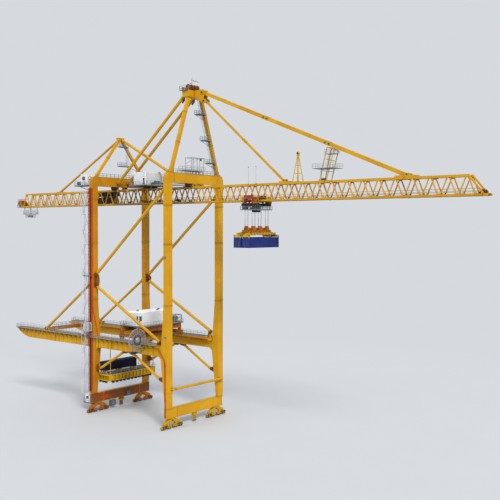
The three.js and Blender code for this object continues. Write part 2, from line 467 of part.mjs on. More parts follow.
// ---------------------------------------------------------- main trolley
// A frame slung under the truss from wheels on the rails of the lower chords,
// with winch boxes beside the truss and a gallery and cab below.
const RAIL_TOP = CHORD_LOW + 0.1;
{
  const x = MAIN_TROLLEY_X, parts = [];
  for (const s of [-1, 1]) parts.push(box(x - 2.7, x + 2.7, s * 2.6 - 0.3, s * 2.6 + 0.3, 59.5, 60.2));
  for (const u of [-2.4, 0, 2.4]) parts.push(box(x + u - 0.25, x + u + 0.25, -2.6, 2.6, 59.5, 60.15));
  for (const u of [-2.0, 2.0]) for (const s of [-1, 1]) {
    parts.push(box(x + u - 0.65, x + u + 0.65, s * 2.35 - 0.15, s * 2.35 + 0.15, 60.0, 62.0));
    for (const w of [-0.38, 0.38]) parts.push(tube([x + u + w, s * 2.3, RAIL_TOP + 0.41], [x + u + w, s * 1.56, RAIL_TOP + 0.41], 0.34, 12));
  }
  for (const s of [-1, 1]) {
    parts.push(box(x - 2.5, x + 0.3, s * 2.85 - 0.3, s * 2.85 + 0.3, 60.1, 62.3));
    for (const u of [1.2, 2.1]) parts.push(tube([x + u, s * 2.45, 61.3], [x + u, s * 2.95, 61.3], 0.75, 14));
    parts.push(box(x + 0.9, x + 2.4, s * 2.7 - 0.2, s * 2.7 + 0.2, 60.1, 61.2));
  }
  parts.push(box(x - 2.9, x + 2.9, -3.1, 3.1, 58.5, 58.66));
  for (const u of [-2.5, 2.5]) for (const s of [-1, 1]) parts.push(box(x + u - 0.1, x + u + 0.1, s * 2.6 - 0.1, s * 2.6 + 0.1, 58.6, 59.6));
  const cab = [x + 0.5, x + 2.1, -2.4, -0.9, 57.9, 59.4];
  const hole = box(cab[0] - GAP, cab[1] + GAP, cab[2] - GAP, cab[3] + GAP, cab[4] - GAP, cab[5] + GAP);
  add('main_trolley', cut(fuse(parts), [hole]), YELLOW);
  add('operator_cab', box(...cab), DARK);
}
const ROPE_X = 1.2, ROPE_Y = 2.75, BAR = 0.08, ROPE_TOP = 58.5 - GAP;
{
  const x = LOAD_X, parts = [box(x - 1.4, x + 1.4, -3.0, -2.5, ROPE_TOP - 0.08, ROPE_TOP), box(x - 1.4, x + 1.4, 2.5, 3.0, ROPE_TOP - 0.08, ROPE_TOP),
    box(x - 1.4, x - 0.4, -2.6, 2.6, ROPE_TOP - 0.08, ROPE_TOP)];
  for (const u of [-ROPE_X, ROPE_X]) for (const y of [-ROPE_Y, ROPE_Y]) parts.push(box(x + u - BAR, x + u + BAR, y - BAR, y + BAR, 54.45 + GAP, ROPE_TOP - 0.04));
  add('hoist_ropes', fuse(parts), STEEL);
}
add('headblock', (() => {
  const x = LOAD_X, parts = [box(x - 1.6, x + 1.6, -4.0, 4.0, 52.75 + GAP, 53.4)];
  for (const u of [-ROPE_X, ROPE_X]) for (const y of [-ROPE_Y, 0, ROPE_Y]) parts.push(tube([x + u - 0.3, y, 53.65], [x + u + 0.3, y, 53.65], 0.8, 16));
  return fuse(parts);
})(), ORANGE);
const CONT_TOP = LOAD_BOT + 2.7;
add('tandem_spreader', (() => {
  const parts = [];
  for (const s of [-1, 1]) {
    const c = LOAD_X + s * 1.38;
    parts.push(box(c - 0.5, c + 0.5, -6.1, 6.1, CONT_TOP + 0.25, 52.75));
    for (const e of [-1, 1]) parts.push(box(c - 1.22, c + 1.22, e * 5.9 - 0.2, e * 5.9 + 0.2, CONT_TOP + GAP, CONT_TOP + 0.55));
  }
  parts.push(box(LOAD_X - 1.3, LOAD_X + 1.3, -2.6, -2.0, 52.0, 52.6), box(LOAD_X - 1.3, LOAD_X + 1.3, 2.0, 2.6, 52.0, 52.6));
  return fuse(parts);
})(), YELLOW);
add('hung_container_landside', box(LOAD_X - 2.6, LOAD_X - 0.16, -6.1, 6.1, LOAD_BOT, CONT_TOP), BLUE);
add('hung_container_waterside', box(LOAD_X + 0.16, LOAD_X + 2.6, -6.1, 6.1, LOAD_BOT, CONT_TOP), BLUE);

// -------------------------------------------------------- portal trolley
{
  const x = PORTAL_TROLLEY_X, parts = [];
  for (const s of [-1, 1]) {
    const y = s * 8.42;
    parts.push(box(x - 4.4, x + 4.4, y - 0.28, y + 0.28, 22.8, 23.7));
    for (const u of [-3.9, -2.9, 2.9, 3.9]) parts.push(tube([x + u, y - 0.2, 22.66], [x + u, y + 0.2, 22.66], 0.4, 12));
    for (const u of [-3.4, 3.0]) parts.push(box(x + u - 0.45, x + u + 0.45, y - 0.28, y + 0.28, 23.6, 24.6));
  }
  for (const u of [-3.4, 3.0]) parts.push(box(x + u - 0.5, x + u + 0.5, -8.7, 8.7, 24.4, 25.9));
  parts.push(box(x - 4.2, x + 4.4, -8.4, 8.6, 25.85, 26.15));
  parts.push(box(x - 1.3, x + 1.3, -6.1, 6.1, 22.6, 23.4));
  for (const y of [-3.4, 3.4]) parts.push(box(x - 1.1, x + 1.1, y - 0.9, y + 0.9, 23.2, 26.0));
  add('portal_trolley', fuse(parts), ORANGE);
  add('portal_trolley_house', box(x - 3.2, x + 2.4, -7.4, 4.8, 26.15 + GAP, 29.9), WHITE);
}

export default crane;
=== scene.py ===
import json
import math
import random
import bmesh
import bpy
from mathutils import Vector, Matrix


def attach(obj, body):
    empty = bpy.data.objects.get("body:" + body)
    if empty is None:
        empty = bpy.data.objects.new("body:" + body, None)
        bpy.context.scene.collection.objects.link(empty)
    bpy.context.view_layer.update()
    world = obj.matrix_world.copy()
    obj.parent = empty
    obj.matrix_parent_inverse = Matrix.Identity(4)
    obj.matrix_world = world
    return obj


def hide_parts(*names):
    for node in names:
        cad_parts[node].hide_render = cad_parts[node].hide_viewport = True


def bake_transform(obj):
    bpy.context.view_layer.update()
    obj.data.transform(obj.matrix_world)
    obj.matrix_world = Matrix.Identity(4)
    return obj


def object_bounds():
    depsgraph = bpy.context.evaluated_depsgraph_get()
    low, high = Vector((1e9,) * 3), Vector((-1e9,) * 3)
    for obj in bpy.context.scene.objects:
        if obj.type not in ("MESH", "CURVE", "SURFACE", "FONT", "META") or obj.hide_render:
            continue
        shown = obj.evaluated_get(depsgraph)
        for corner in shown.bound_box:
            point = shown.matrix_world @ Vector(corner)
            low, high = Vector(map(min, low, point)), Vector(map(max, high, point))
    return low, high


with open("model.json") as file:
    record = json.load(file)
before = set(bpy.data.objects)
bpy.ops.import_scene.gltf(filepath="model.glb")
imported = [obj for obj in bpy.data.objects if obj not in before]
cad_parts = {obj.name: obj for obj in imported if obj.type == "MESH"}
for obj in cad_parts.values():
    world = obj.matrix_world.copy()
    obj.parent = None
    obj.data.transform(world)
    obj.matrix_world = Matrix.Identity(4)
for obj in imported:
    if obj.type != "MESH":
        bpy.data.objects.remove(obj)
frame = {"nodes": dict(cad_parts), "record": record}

CAD_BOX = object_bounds()
rnd = random.Random(11)

# ------------------------------------------------------------------ the frame
# Full-size metres, as the CAD source uses them: X along the boom, 0 at the
# landside leg line; Y along the quay, 0 at the boom; Z from the rail heads.
S, OX, OY = 0.1, 31.35, -2.16
GAP = 0.004
GAUGE, LAND_X = 30.2, -0.2
LEG_Y, LEG_WIDE, LEG_X = 10.25, 2.0, 1.4
SILL_BOT, SILL_TOP = 2.8, 5.5
GIRDER_BOT, GIRDER_TOP, NOSE = 19.3, 22.2, -36.3
TOP_BOT, TOP_TOP = 66.0, 68.6
LOW, UP, CY, CH = 60.9, 65.0, 1.2, 0.5
PANEL, PSTART = 4.2, -48.0
TIP = 114.0
APEX, PYLON = 90.3, 80.3
TX, LX, PX = 52.1, 52.2, 13.3
LOAD_BOT = 48.85
CONT_TOP = LOAD_BOT + 2.7
SIDES = (("near", -1), ("far", 1))
RAILS = (("waterside", GAUGE), ("landside", LAND_X))


def M(p):
    return ((p[0] - OX) * S, (p[1] - OY) * S, p[2] * S)


# ------------------------------------------------------------- mesh building
class Kit:
    """Gathers vertices and faces in full-size metres."""

    def __init__(self):
        self.v, self.f = [], []

    def add(self, vs, fs):
        n = len(self.v)
        self.v += [tuple(p) for p in vs]
        self.f += [tuple(i + n for i in f) for f in fs]
        return self

    def obox(self, c, ax, ay, az):
        c, ax, ay, az = Vector(c), Vector(ax), Vector(ay), Vector(az)
        vs = [c + ax * i + ay * j + az * k for k in (-1, 1) for j in (-1, 1) for i in (-1, 1)]
        return self.add(vs, [(0, 2, 3, 1), (4, 5, 7, 6), (0, 1, 5, 4), (1, 3, 7, 5), (3, 2, 6, 7), (2, 0, 4, 6)])

    def box(self, x0, x1, y0, y1, z0, z1):
        if x0 > x1: x0, x1 = x1, x0
        if y0 > y1: y0, y1 = y1, y0
        if z0 > z1: z0, z1 = z1, z0
        return self.obox(((x0 + x1) / 2, (y0 + y1) / 2, (z0 + z1) / 2), ((x1 - x0) / 2, 0, 0), (0, (y1 - y0) / 2, 0), (0, 0, (z1 - z0) / 2))

    def axes(self, a, b):
        a, b = Vector(a), Vector(b)
        d = (b - a)
        L = d.length
        d.normalize()
        ref = Vector((1, 0, 0)) if abs(d.z) > 0.999 else Vector((0, 0, 1))
        side = d.cross(ref).normalized()
        up = side.cross(d).normalized()
        return a, b, d, L, side, up

    def bar(self, a, b, w, d=None):
        d = w if d is None else d
        a, b, dr, L, side, up = self.axes(a, b)
        return self.obox((a + b) / 2, side * w / 2, dr * L / 2, up * d / 2)

    def tube(self, a, b, r, n=8, rb=None, caps=True):
        rb = r if rb is None else rb
        a, b, dr, L, side, up = self.axes(a, b)
        vs = []
        for p, rad in ((a, r), (b, rb)):
            for k in range(n):
                t = 2 * math.pi * k / n
                vs.append(p + side * (rad * math.cos(t)) + up * (-rad * math.sin(t)))
        fs = [(k, (k + 1) % n, n + (k + 1) % n, n + k) for k in range(n)]
        if caps:
            fs += [tuple(range(n - 1, -1, -1)), tuple(range(n, 2 * n))]
        return self.add(vs, fs)

    def path(self, pts, r, n=6):
        """Round bar through points, mitred at its bends."""
        pts = [Vector(p) for p in pts]
        rings = []
        ref = None
        for i, p in enumerate(pts):
            d = (pts[min(i + 1, len(pts) - 1)] - pts[max(i - 1, 0)]).normalized()
            if ref is None or abs(ref.dot(d)) > 0.98:
                ref = Vector((0.3, 0.2, 0.93)) if abs(d.z) < 0.9 else Vector((1, 0.1, 0))
            s = d.cross(ref).normalized()
            u = s.cross(d).normalized()
            rings.append([p + s * (r * math.cos(2 * math.pi * k / n)) - u * (r * math.sin(2 * math.pi * k / n)) for k in range(n)])
        vs = [q for ring in rings for q in ring]
        fs = []
        for i in range(len(pts) - 1):
            o = i * n
            fs += [(o + k, o + (k + 1) % n, o + n + (k + 1) % n, o + n + k) for k in range(n)]
        fs += [tuple(range(n - 1, -1, -1)), tuple(range((len(pts) - 1) * n, len(pts) * n))]
        return self.add(vs, fs)

    def lathe(self, profile, c, axis, n=24):
        """Turns a closed profile of (radius, along) about an axis through c."""
        c, ax = Vector(c), Vector(axis).normalized()
        ref = Vector((0, 0, 1)) if abs(ax.z) < 0.9 else Vector((1, 0, 0))
        u = ax.cross(ref).normalized()
        w = ax.cross(u).normalized()
        m = len(profile)
        vs = []
        for k in range(n):
            t = 2 * math.pi * k / n
            dirn = u * math.cos(t) + w * math.sin(t)
            for r, h in profile:
                vs.append(c + dirn * r + ax * h)
        fs = []
        area = sum(profile[i][0] * profile[(i + 1) % m][1] - profile[(i + 1) % m][0] * profile[i][1] for i in range(m))
        for k in range(n):
            a, b = k * m, ((k + 1) % n) * m
            for i in range(m):
                j = (i + 1) % m
                q = (a + i, b + i, b + j, a + j)
                fs.append(q if area < 0 else q[::-1])
        return self.add(vs, fs)

    def prism(self, pts, plane, c0, c1):
        """Extrudes an outline given in a plane: xz, yz or xy."""
        c0, c1 = min(c0, c1), max(c0, c1)
        f = {"xz": lambda p, c: (p[0], c, p[1]), "yz": lambda p, c: (c, p[0], p[1]), "xy": lambda p, c: (p[0], p[1], c)}[plane]
        n = len(pts)
        area = sum(pts[i][0] * pts[(i + 1) % n][1] - pts[(i + 1) % n][0] * pts[i][1] for i in range(n))
        ccw = area > 0
        if plane == "xz":
            ccw = not ccw
        if not ccw:
            pts = pts[::-1]
        vs = [f(p, c0) for p in pts] + [f(p, c1) for p in pts]
        fs = [tuple(range(n - 1, -1, -1)), tuple(range(n, 2 * n))]
        fs += [(k, (k + 1) % n, n + (k + 1) % n, n + k) for k in range(n)]
        return self.add(vs, fs)

    # --------------------------------------------- parts that come up often
    def handrail(self, pts, h=1.1, step=1.5, r=0.032, mid=(0.55,), kick=0.12):
        """Posts, top rail, middle rail and kick plate over a line of points."""
        for a, b in zip(pts[:-1], pts[1:]):
            a, b = Vector(a), Vector(b)
            L = (b - a).length
            n = max(1, round(L / step))
            up = Vector((0, 0, 1))
            for k in range(n + 1):
                p = a.lerp(b, k / n)
                self.bar(p, p + up * h, 2 * r)
            for z in (h,) + tuple(mid):
                self.bar(a + up * z, b + up * z, 2 * r)
            if kick:
                self.bar(a + up * kick / 2, b + up * kick / 2, 0.02, kick)
        return self

    def sheave(self, c, axis, r, w, n=28):
        """Grooved rope sheave with its hub."""
        g = 0.14 * r
        self.lathe([(r * 0.80, -w / 2), (r, -w / 2), (r - g, -w * 0.12), (r - g, w * 0.12), (r, w / 2), (r * 0.80, w / 2)], c, axis, n)
        self.lathe([(0.02, -w * 0.16), (r * 0.82, -w * 0.16), (r * 0.82, w * 0.16), (0.02, w * 0.16)], c, axis, n)
        self.lathe([(0.01, -w * 0.62), (r * 0.24, -w * 0.62), (r * 0.24, w * 0.62), (0.01, w * 0.62)], c, axis, 16)
        return self

    def ladder(self, a, b, w=0.45, out=(0, -1, 0), cage=True, r=0.025, step=0.45):
        """Ladder with safety hoops between two points."""
        a, b, dr, L, _, _ = self.axes(a, b)
        o = Vector(out).normalized()
        o = (o - dr * o.dot(dr)).normalized()
        s = dr.cross(o).normalized()
        for k in (-1, 1):
            self.bar(a + s * (w / 2 * k), b + s * (w / 2 * k), 2 * r)
        n = int(L / step)
        for k in range(1, n):
            p = a + dr * (k * step)
            self.bar(p - s * w / 2, p + s * w / 2, r * 1.2)
        if cage:
            m = int(L / 1.4)
            hoop = [(-0.5, 0.05), (-0.5, 0.45), (-0.25, 0.78), (0.25, 0.78), (0.5, 0.45), (0.5, 0.05)]
            for k in range(1, m + 1):
                p = a + dr * (k * 1.4)
                q = [p + s * (w * i * 1.4) + o * j for i, j in hoop]
                for c, d in zip(q[:-1], q[1:]):
                    self.bar(c, d, 0.04, 0.02)
            for i, j in hoop[1:5]:
                c = a + dr * 1.4 + s * (w * i * 1.4) + o * j
                d = a + dr * (1.4 * m) + s * (w * i * 1.4) + o * j
                self.bar(c, d, 0.03, 0.02)
        return self

    def make(self, name, material, body="crane", slot=None, replaces=(), smooth=32, bevel=0.0):
        mesh = bpy.data.meshes.new(name)
        mesh.from_pydata([M(p) for p in self.v], [], self.f)
        mesh.validate()
        bm = bmesh.new()
        bm.from_mesh(mesh)
        bmesh.ops.recalc_face_normals(bm, faces=bm.faces)
        bm.to_mesh(mesh)
        bm.free()
        mesh.materials.append(material)
        mesh.polygons.foreach_set("use_smooth", [True] * len(mesh.polygons))
        mesh.set_sharp_from_angle(angle=math.radians(smooth))
        mesh.update()
        ob = bpy.data.objects.new(name, mesh)
        bpy.context.scene.collection.objects.link(ob)
        if bevel:
            m = ob.modifiers.new("edge", "BEVEL")
            m.width, m.segments, m.limit_method, m.angle_limit = bevel * S, 2, "ANGLE", math.radians(40)
        if body:
            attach(ob, body)
        if replaces:
            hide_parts(*replaces)
        return ob


# ----------------------------------------------------------------- materials
def lin(r, g, b):
    f = lambda c: c / 12.92 if c <= 0.04045 else ((c + 0.055) / 1.055) ** 2.4
    return (f(r / 255), f(g / 255), f(b / 255), 1.0)


class Nodes:
    """Small helper that builds a shader graph."""

    def __init__(self, name):
        self.m = bpy.data.materials.new(name)
        self.m.use_nodes = True
        self.t = self.m.node_tree
        self.t.nodes.clear()
        self.out = self.n("ShaderNodeOutputMaterial")
        self.b = self.n("ShaderNodeBsdfPrincipled")
        self.link(self.b.outputs[0], self.out.inputs["Surface"])
        self.co = self.n("ShaderNodeTexCoord").outputs["Object"]

    def n(self, kind, **sets):
        node = self.t.nodes.new(kind)
        for k, v in sets.items():
            setattr(node, k, v)
        return node

    def link(self, a, b):
        self.t.links.new(a, b)

    def scaled(self, sx, sy, sz):
        m = self.n("ShaderNodeMapping")
        self.link(self.co, m.inputs["Vector"])
        m.inputs["Scale"].default_value = (sx, sy, sz)
        return m.outputs[0]

    def noise(self, scale, detail=4.0, rough=0.55, vector=None, dist=0.0):
        t = self.n("ShaderNodeTexNoise")
        t.inputs["Scale"].default_value = scale
        t.inputs["Detail"].default_value = detail
        t.inputs["Roughness"].default_value = rough
        t.inputs["Distortion"].default_value = dist
        self.link(vector or self.co, t.inputs["Vector"])
        return t.outputs["Fac"]

    def ramp(self, fac, a, b, lo=0.0, hi=1.0):
        """fac from a..b to lo..hi, clamped."""
        r = self.n("ShaderNodeMapRange")
        r.inputs["From Min"].default_value, r.inputs["From Max"].default_value = a, b
        r.inputs["To Min"].default_value, r.inputs["To Max"].default_value = lo, hi
        self.link(fac, r.inputs["Value"])
        return r.outputs[0]

    def mix(self, fac, a, b, blend="MIX"):
        x = self.n("ShaderNodeMix", data_type="RGBA", blend_type=blend)
        for s, v in ((x.inputs[0], fac), (x.inputs[6], a), (x.inputs[7], b)):
            if hasattr(v, "links"):
                self.link(v, s)
            else:
                s.default_value = v
        return x.outputs[2]

    def math(self, op, a, b=0.0):
        x = self.n("ShaderNodeMath", operation=op)
        for s, v in ((x.inputs[0], a), (x.inputs[1], b)):
            if hasattr(v, "links"):
                self.link(v, s)
            else:
                s.default_value = v
        return x.outputs[0]

    def edge(self, radius=0.006):
        """1 near an edge, 0 on a flat face."""
        bev = self.n("ShaderNodeBevel", samples=4)
        bev.inputs["Radius"].default_value = radius
        geo = self.n("ShaderNodeNewGeometry")
        dot = self.n("ShaderNodeVectorMath", operation="DOT_PRODUCT")
        self.link(bev.outputs[0], dot.inputs[0])
        self.link(geo.outputs["Normal"], dot.inputs[1])
        return self.ramp(dot.outputs["Value"], 0.995, 0.90, 0.0, 1.0)

    def bump(self, height, strength, distance):
        x = self.n("ShaderNodeBump")
        x.inputs["Strength"].default_value = strength
        x.inputs["Distance"].default_value = distance
        self.link(height, x.inputs["Height"])
        self.link(x.outputs[0], self.b.inputs["Normal"])


def paint(name, base, light, dirt_and_shade, rough=(0.34, 0.58), streak=0.30, rust=0.35, metal=0.0, seams=True, coat=0.0, wear=True, crevice_shade=0.5, spec=0.22):
    """Weathered ship paint: faded patches, run-off streaks, chipped edges, painted shade in crevices, plate seams,
    orange-peel bump.
    """
    k = Nodes(name)
    patches = k.ramp(k.noise(1.7, 3.0, 0.6), 0.38, 0.66)
    col = k.mix(patches, base, light)
    fine = k.ramp(k.noise(26.0, 5.0, 0.7), 0.35, 0.75, 0.0, 0.35)
    col = k.mix(fine, col, light)
    run = k.noise(1.0, 5.0, 0.65, k.scaled(46, 46, 2.2))
    runs = k.ramp(run, 0.56, 0.80, 0.0, streak)
    col = k.mix(runs, col, dirt_and_shade)
    spots = k.ramp(k.noise(75.0, 6.0, 0.8), 0.70, 0.80, 0.0, 0.55)
    col = k.mix(spots, col, dirt_and_shade)
    if wear:
        edge = k.edge()
        chips = k.math("MULTIPLY", edge, k.ramp(k.noise(120.0, 4.0, 0.7), 0.50, 0.62, 0.0, rust))
        col = k.mix(chips, col, lin(96, 52, 30))
        col = k.mix(k.math("MULTIPLY", edge, 0.22), col, light)
    # painted shade: an ambient-occlusion mask darkens corners, crevices and joints towards the dark tone
    ao = k.n("ShaderNodeAmbientOcclusion", samples=6)
    ao.inputs["Distance"].default_value = 0.06
    shade = k.ramp(ao.outputs["AO"], 0.25, 0.85, crevice_shade, 0.0)
    col = k.mix(shade, col, dirt_and_shade)
    k.link(col, k.b.inputs["Base Color"])
    k.link(k.ramp(k.noise(9.0, 4.0), 0.3, 0.7, rough[0], rough[1]), k.b.inputs["Roughness"])
    k.b.inputs["Metallic"].default_value = metal
    k.b.inputs["Coat Weight"].default_value = coat
    k.b.inputs["Specular IOR Level"].default_value = spec
    k.b.inputs["Coat Roughness"].default_value = 0.25
    h = k.noise(190.0, 3.0, 0.6)
    if seams:
        w = k.n("ShaderNodeTexWave", wave_type="BANDS", bands_direction="Z", wave_profile="SIN")
        w.inputs["Scale"].default_value = 0.78
        w.inputs["Distortion"].default_value = 0.0
        k.link(k.co, w.inputs["Vector"])
        line = k.ramp(w.outputs["Fac"], 0.9985, 1.0, 0.0, 1.0)
        h = k.math("ADD", k.math("MULTIPLY", h, 0.25), k.math("ADD", k.math("MULTIPLY", line, 1.2), k.math("MULTIPLY", k.noise(5.0, 2.0), 1.6)))
        k.bump(h, 0.35, 0.0016)
    else:
        k.bump(h, 0.25, 0.0006)
    return k.m


def steel(name, base, light, rough=(0.35, 0.6), metal=0.75, spangle=True):
    k = Nodes(name)
    v = k.n("ShaderNodeTexVoronoi", feature="F1")
    v.inputs["Scale"].default_value = 95.0
    k.link(k.co, v.inputs["Vector"])
    cell = k.n("ShaderNodeSeparateColor")
    k.link(v.outputs["Color"], cell.inputs[0])
    tone = k.ramp(k.noise(14.0, 5.0, 0.65), 0.3, 0.7)
    col = k.mix(tone, base, light)
    if spangle:
        col = k.mix(k.math("MULTIPLY", cell.outputs[0], 0.35), col, light)
    stain = k.ramp(k.noise(1.0, 5.0, 0.7, k.scaled(60, 60, 6)), 0.58, 0.78, 0.0, 0.35)
    col = k.mix(stain, col, lin(92, 80, 66))
    k.link(col, k.b.inputs["Base Color"])
    k.b.inputs["Metallic"].default_value = metal
    k.link(k.ramp(k.noise(40.0, 3.0), 0.3, 0.7, rough[0], rough[1]), k.b.inputs["Roughness"])
    k.bump(k.noise(160.0, 4.0), 0.3, 0.0005)
    return k.m


def grating():
    """Open bar grating seen as closely set bars, with its cross rods."""
    k = Nodes("bar_grating")
    waves = []
    for direction, scale in (("X", 26.0), ("Y", 9.0)):
        w = k.n("ShaderNodeTexWave", wave_type="BANDS", bands_direction=direction, wave_profile="SIN")
        w.inputs["Scale"].default_value = scale
        k.link(k.co, w.inputs["Vector"])
        waves.append(w.outputs["Fac"])
    grid = k.ramp(k.math("MAXIMUM", waves[0], waves[1]), 0.45, 0.75)
    dull = k.mix(k.ramp(k.noise(12.0, 4.0), 0.3, 0.7), lin(118, 120, 120), lin(150, 152, 152))
    k.link(k.mix(grid, lin(52, 52, 52), dull), k.b.inputs["Base Color"])
    k.b.inputs["Metallic"].default_value = 0.55
    k.link(k.ramp(k.noise(30.0), 0.3, 0.7, 0.45, 0.7), k.b.inputs["Roughness"])
    k.bump(grid, 0.5, 0.0012)
    return k.m


def rope_steel():
    k = Nodes("wire_rope")
    w = k.n("ShaderNodeTexWave", wave_type="BANDS", bands_direction="DIAGONAL", wave_profile="SIN")
    w.inputs["Scale"].default_value = 90.0
    w.inputs["Distortion"].default_value = 0.4
    k.link(k.co, w.inputs["Vector"])
    k.link(k.mix(w.outputs["Fac"], lin(38, 36, 34), lin(96, 92, 86)), k.b.inputs["Base Color"])
    k.b.inputs["Metallic"].default_value = 0.7
    k.link(k.ramp(k.noise(50.0), 0.3, 0.7, 0.3, 0.55), k.b.inputs["Roughness"])
    k.bump(w.outputs["Fac"], 0.6, 0.0008)
    return k.m


def glass(name="window_glass", base=lin(14, 22, 30)):
    k = Nodes(name)
    col = k.mix(k.ramp(k.noise(7.0, 3.0), 0.3, 0.7), base, lin(44, 60, 72))
    k.link(col, k.b.inputs["Base Color"])
    k.link(k.ramp(k.noise(22.0, 4.0), 0.35, 0.75, 0.04, 0.16), k.b.inputs["Roughness"])
    k.b.inputs["Specular IOR Level"].default_value = 0.8
    k.b.inputs["Coat Weight"].default_value = 0.6
    k.b.inputs["Coat Roughness"].default_value = 0.05
    k.bump(k.noise(3.0, 1.0), 0.1, 0.0005)
    return k.m


YEL = paint("crane_yellow", lin(188, 134, 2), lin(204, 152, 8), lin(112, 66, 10), streak=0.26, rust=0.5)
YEL_S = paint("crane_yellow_small", lin(178, 136, 2), lin(196, 155, 6), lin(104, 62, 12), streak=0.22, rust=0.45, seams=False)
# darker, more orange copy of the crane yellow for the landside legs and top beam: painted shade
YEL_LANDSIDE_SHADE = paint("crane_yellow_landside_painted_shade", lin(174, 114, 4), lin(190, 132, 8), lin(104, 56, 12), streak=0.32, rust=0.5)
# darker brown copy of the crane yellow for the middle truss: painted shade
YEL_TRUSS_SHADE = paint("crane_yellow_painted_shade", lin(128, 88, 14), lin(152, 108, 18), lin(70, 44, 20), streak=0.4, rust=0.5, seams=False)
# dark brown copy of the crane paint for the landside sill beam: painted shade
SILL_SHADE = paint("sill_painted_shade_brown", lin(106, 56, 20), lin(130, 72, 26), lin(70, 38, 18), streak=0.4, rust=0.5)
# dark orange copy of the crane paint for brace joints, gussets, conductor trays and apex sheaves: painted shade
JOINT_SHADE = paint("joint_painted_shade_orange", lin(108, 62, 16), lin(134, 80, 22), lin(58, 34, 16), streak=0.3, rust=0.5, seams=False)
# orange copy of the crane paint, standing in for shade on landside bogies, joints, sheave blocks, headblock and portal
# trolley: painted shade
ORANGE_SHADE = paint("crane_orange_painted_shade", lin(152, 84, 12), lin(172, 102, 20), lin(72, 40, 16), streak=0.34, rust=0.5, seams=False)
RED = paint("lift_red", lin(134, 34, 20), lin(162, 52, 30), lin(64, 22, 16), streak=0.4, rust=0.3, seams=False)
PIPE = paint("pipe_orange_red", lin(166, 46, 6), lin(188, 62, 12), lin(120, 40, 16), streak=0.2, rust=0.2, seams=False)
WHT = paint("house_white", lin(240, 242, 246), lin(252, 253, 255), lin(176, 172, 166), streak=0.16, rust=0.2, seams=False, crevice_shade=0.12)
GRY = steel("galvanised_steel", lin(136, 140, 144), lin(176, 180, 184), metal=0.5)
GRY_D = steel("grey_machinery", lin(84, 88, 92), lin(124, 128, 132), metal=0.4)
LGT = steel("light_galvanised", lin(182, 186, 191), lin(206, 209, 213), metal=0.05)
DRK = paint("dark_machinery", lin(34, 34, 37), lin(56, 55, 56), lin(70, 52, 38), rough=(0.4, 0.7), streak=0.3, rust=0.4, seams=False)
BLU = paint("container_blue", lin(18, 34, 100), lin(28, 46, 122), lin(18, 24, 52), streak=0.25, rust=0.45, seams=False, crevice_shade=0.25)
NVY = paint("container_navy", lin(12, 16, 44), lin(22, 28, 62), lin(22, 20, 26), streak=0.3, rust=0.45, seams=False, crevice_shade=0.3)
BRN = paint("winch_red_brown", lin(150, 56, 30), lin(176, 78, 44), lin(74, 38, 26), streak=0.3, rust=0.4, seams=False)
GRATE = grating()
ROPE = rope_steel()
GLS = glass()
RUB = paint("rubber_black", lin(24, 24, 25), lin(40, 40, 41), lin(60, 54, 48), rough=(0.6, 0.85), streak=0.1, rust=0.0, seams=False, wear=False)
WHEEL = steel("wheel_steel", lin(70, 64, 58), lin(150, 146, 140), rough=(0.25, 0.6), metal=0.85, spangle=False)

SLOT = {"yellow_paint": YEL, "orange_paint": ORANGE_SHADE, "red_paint": RED, "galvanised": GRY, "white_paint": WHT,
        "dark_paint": DRK, "blue_paint": BLU, "navy_paint": NVY, "wire_rope": ROPE}
for row in frame["record"]["subparts"]:
    mesh = frame["nodes"][row["node"]].data
    mesh.materials.clear()
    # landside legs, landside top beam, landside sill beam and middle truss take darker copies of the crane paint as
    # painted shade
    mesh.materials.append(YEL_LANDSIDE_SHADE if row["node"] in ("leg_landside_near", "leg_landside_far", "top_beam_landside") else SILL_SHADE if row["node"] == "sill_beam_landside" else YEL_TRUSS_SHADE if row["node"] == "truss_middle" else SLOT[row["material_slot"]])

# --------------------------------------------------------------- the camera
cam_data = bpy.data.cameras.new("camera")
cam = bpy.data.objects.new("camera", cam_data)
bpy.context.scene.collection.objects.link(cam)
yaw, pitch, roll = math.radians(39.007), math.radians(-1.616), math.radians(0.118)
fwd = Vector((-math.sin(yaw) * math.cos(pitch), math.cos(yaw) * math.cos(pitch), math.sin(pitch)))
right = Vector((math.cos(yaw), math.sin(yaw), 0))
upv = right.cross(fwd)
right, upv = right * math.cos(roll) + upv * math.sin(roll), upv * math.cos(roll) - right * math.sin(roll)
rot = Matrix((right, upv, -fwd)).transposed().to_4x4()
cam.matrix_world = Matrix.Translation(Vector(M((175.315, -144.787 - 9.9, 53.781)))) @ rot
cam_data.sensor_width = 36.0
cam_data.lens = 765.205 / 500 * 36.0
cam_data.clip_start, cam_data.clip_end = 0.5, 400.0
bpy.context.scene.camera = cam

# --------------------------------------------------- floor, world and lights
BACK = lin(214, 218, 222)
floor = bpy.data.meshes.new("studio_floor")
R = 120.0
floor.from_pydata([(R * math.cos(math.pi * k / 32), R * math.sin(math.pi * k / 32), -0.002) for k in range(64)], [], [tuple(range(64))])
floor_ob = bpy.data.objects.new("studio_floor", floor)
bpy.context.scene.collection.objects.link(floor_ob)
k = Nodes("pale_floor")
dist = k.n("ShaderNodeVectorMath", operation="LENGTH")
k.link(k.co, dist.inputs[0])
far = k.ramp(dist.outputs["Value"], 7.0, 17.0)
tone = k.ramp(k.noise(0.7, 3.0), 0.3, 0.7, 0.0, 1.0)
k.link(k.mix(tone, (0.548, 0.566, 0.594, 1), (0.560, 0.578, 0.606, 1)), k.b.inputs["Base Color"])
k.link(k.ramp(k.noise(6.0, 4.0), 0.3, 0.7, 0.75, 0.9), k.b.inputs["Roughness"])
k.b.inputs["Specular IOR Level"].default_value = 0.1
k.bump(k.noise(40.0, 4.0), 0.1, 0.001)
em = k.n("ShaderNodeEmission")
em.inputs["Color"].default_value = BACK
ms = k.n("ShaderNodeMixShader")
k.link(far, ms.inputs[0])
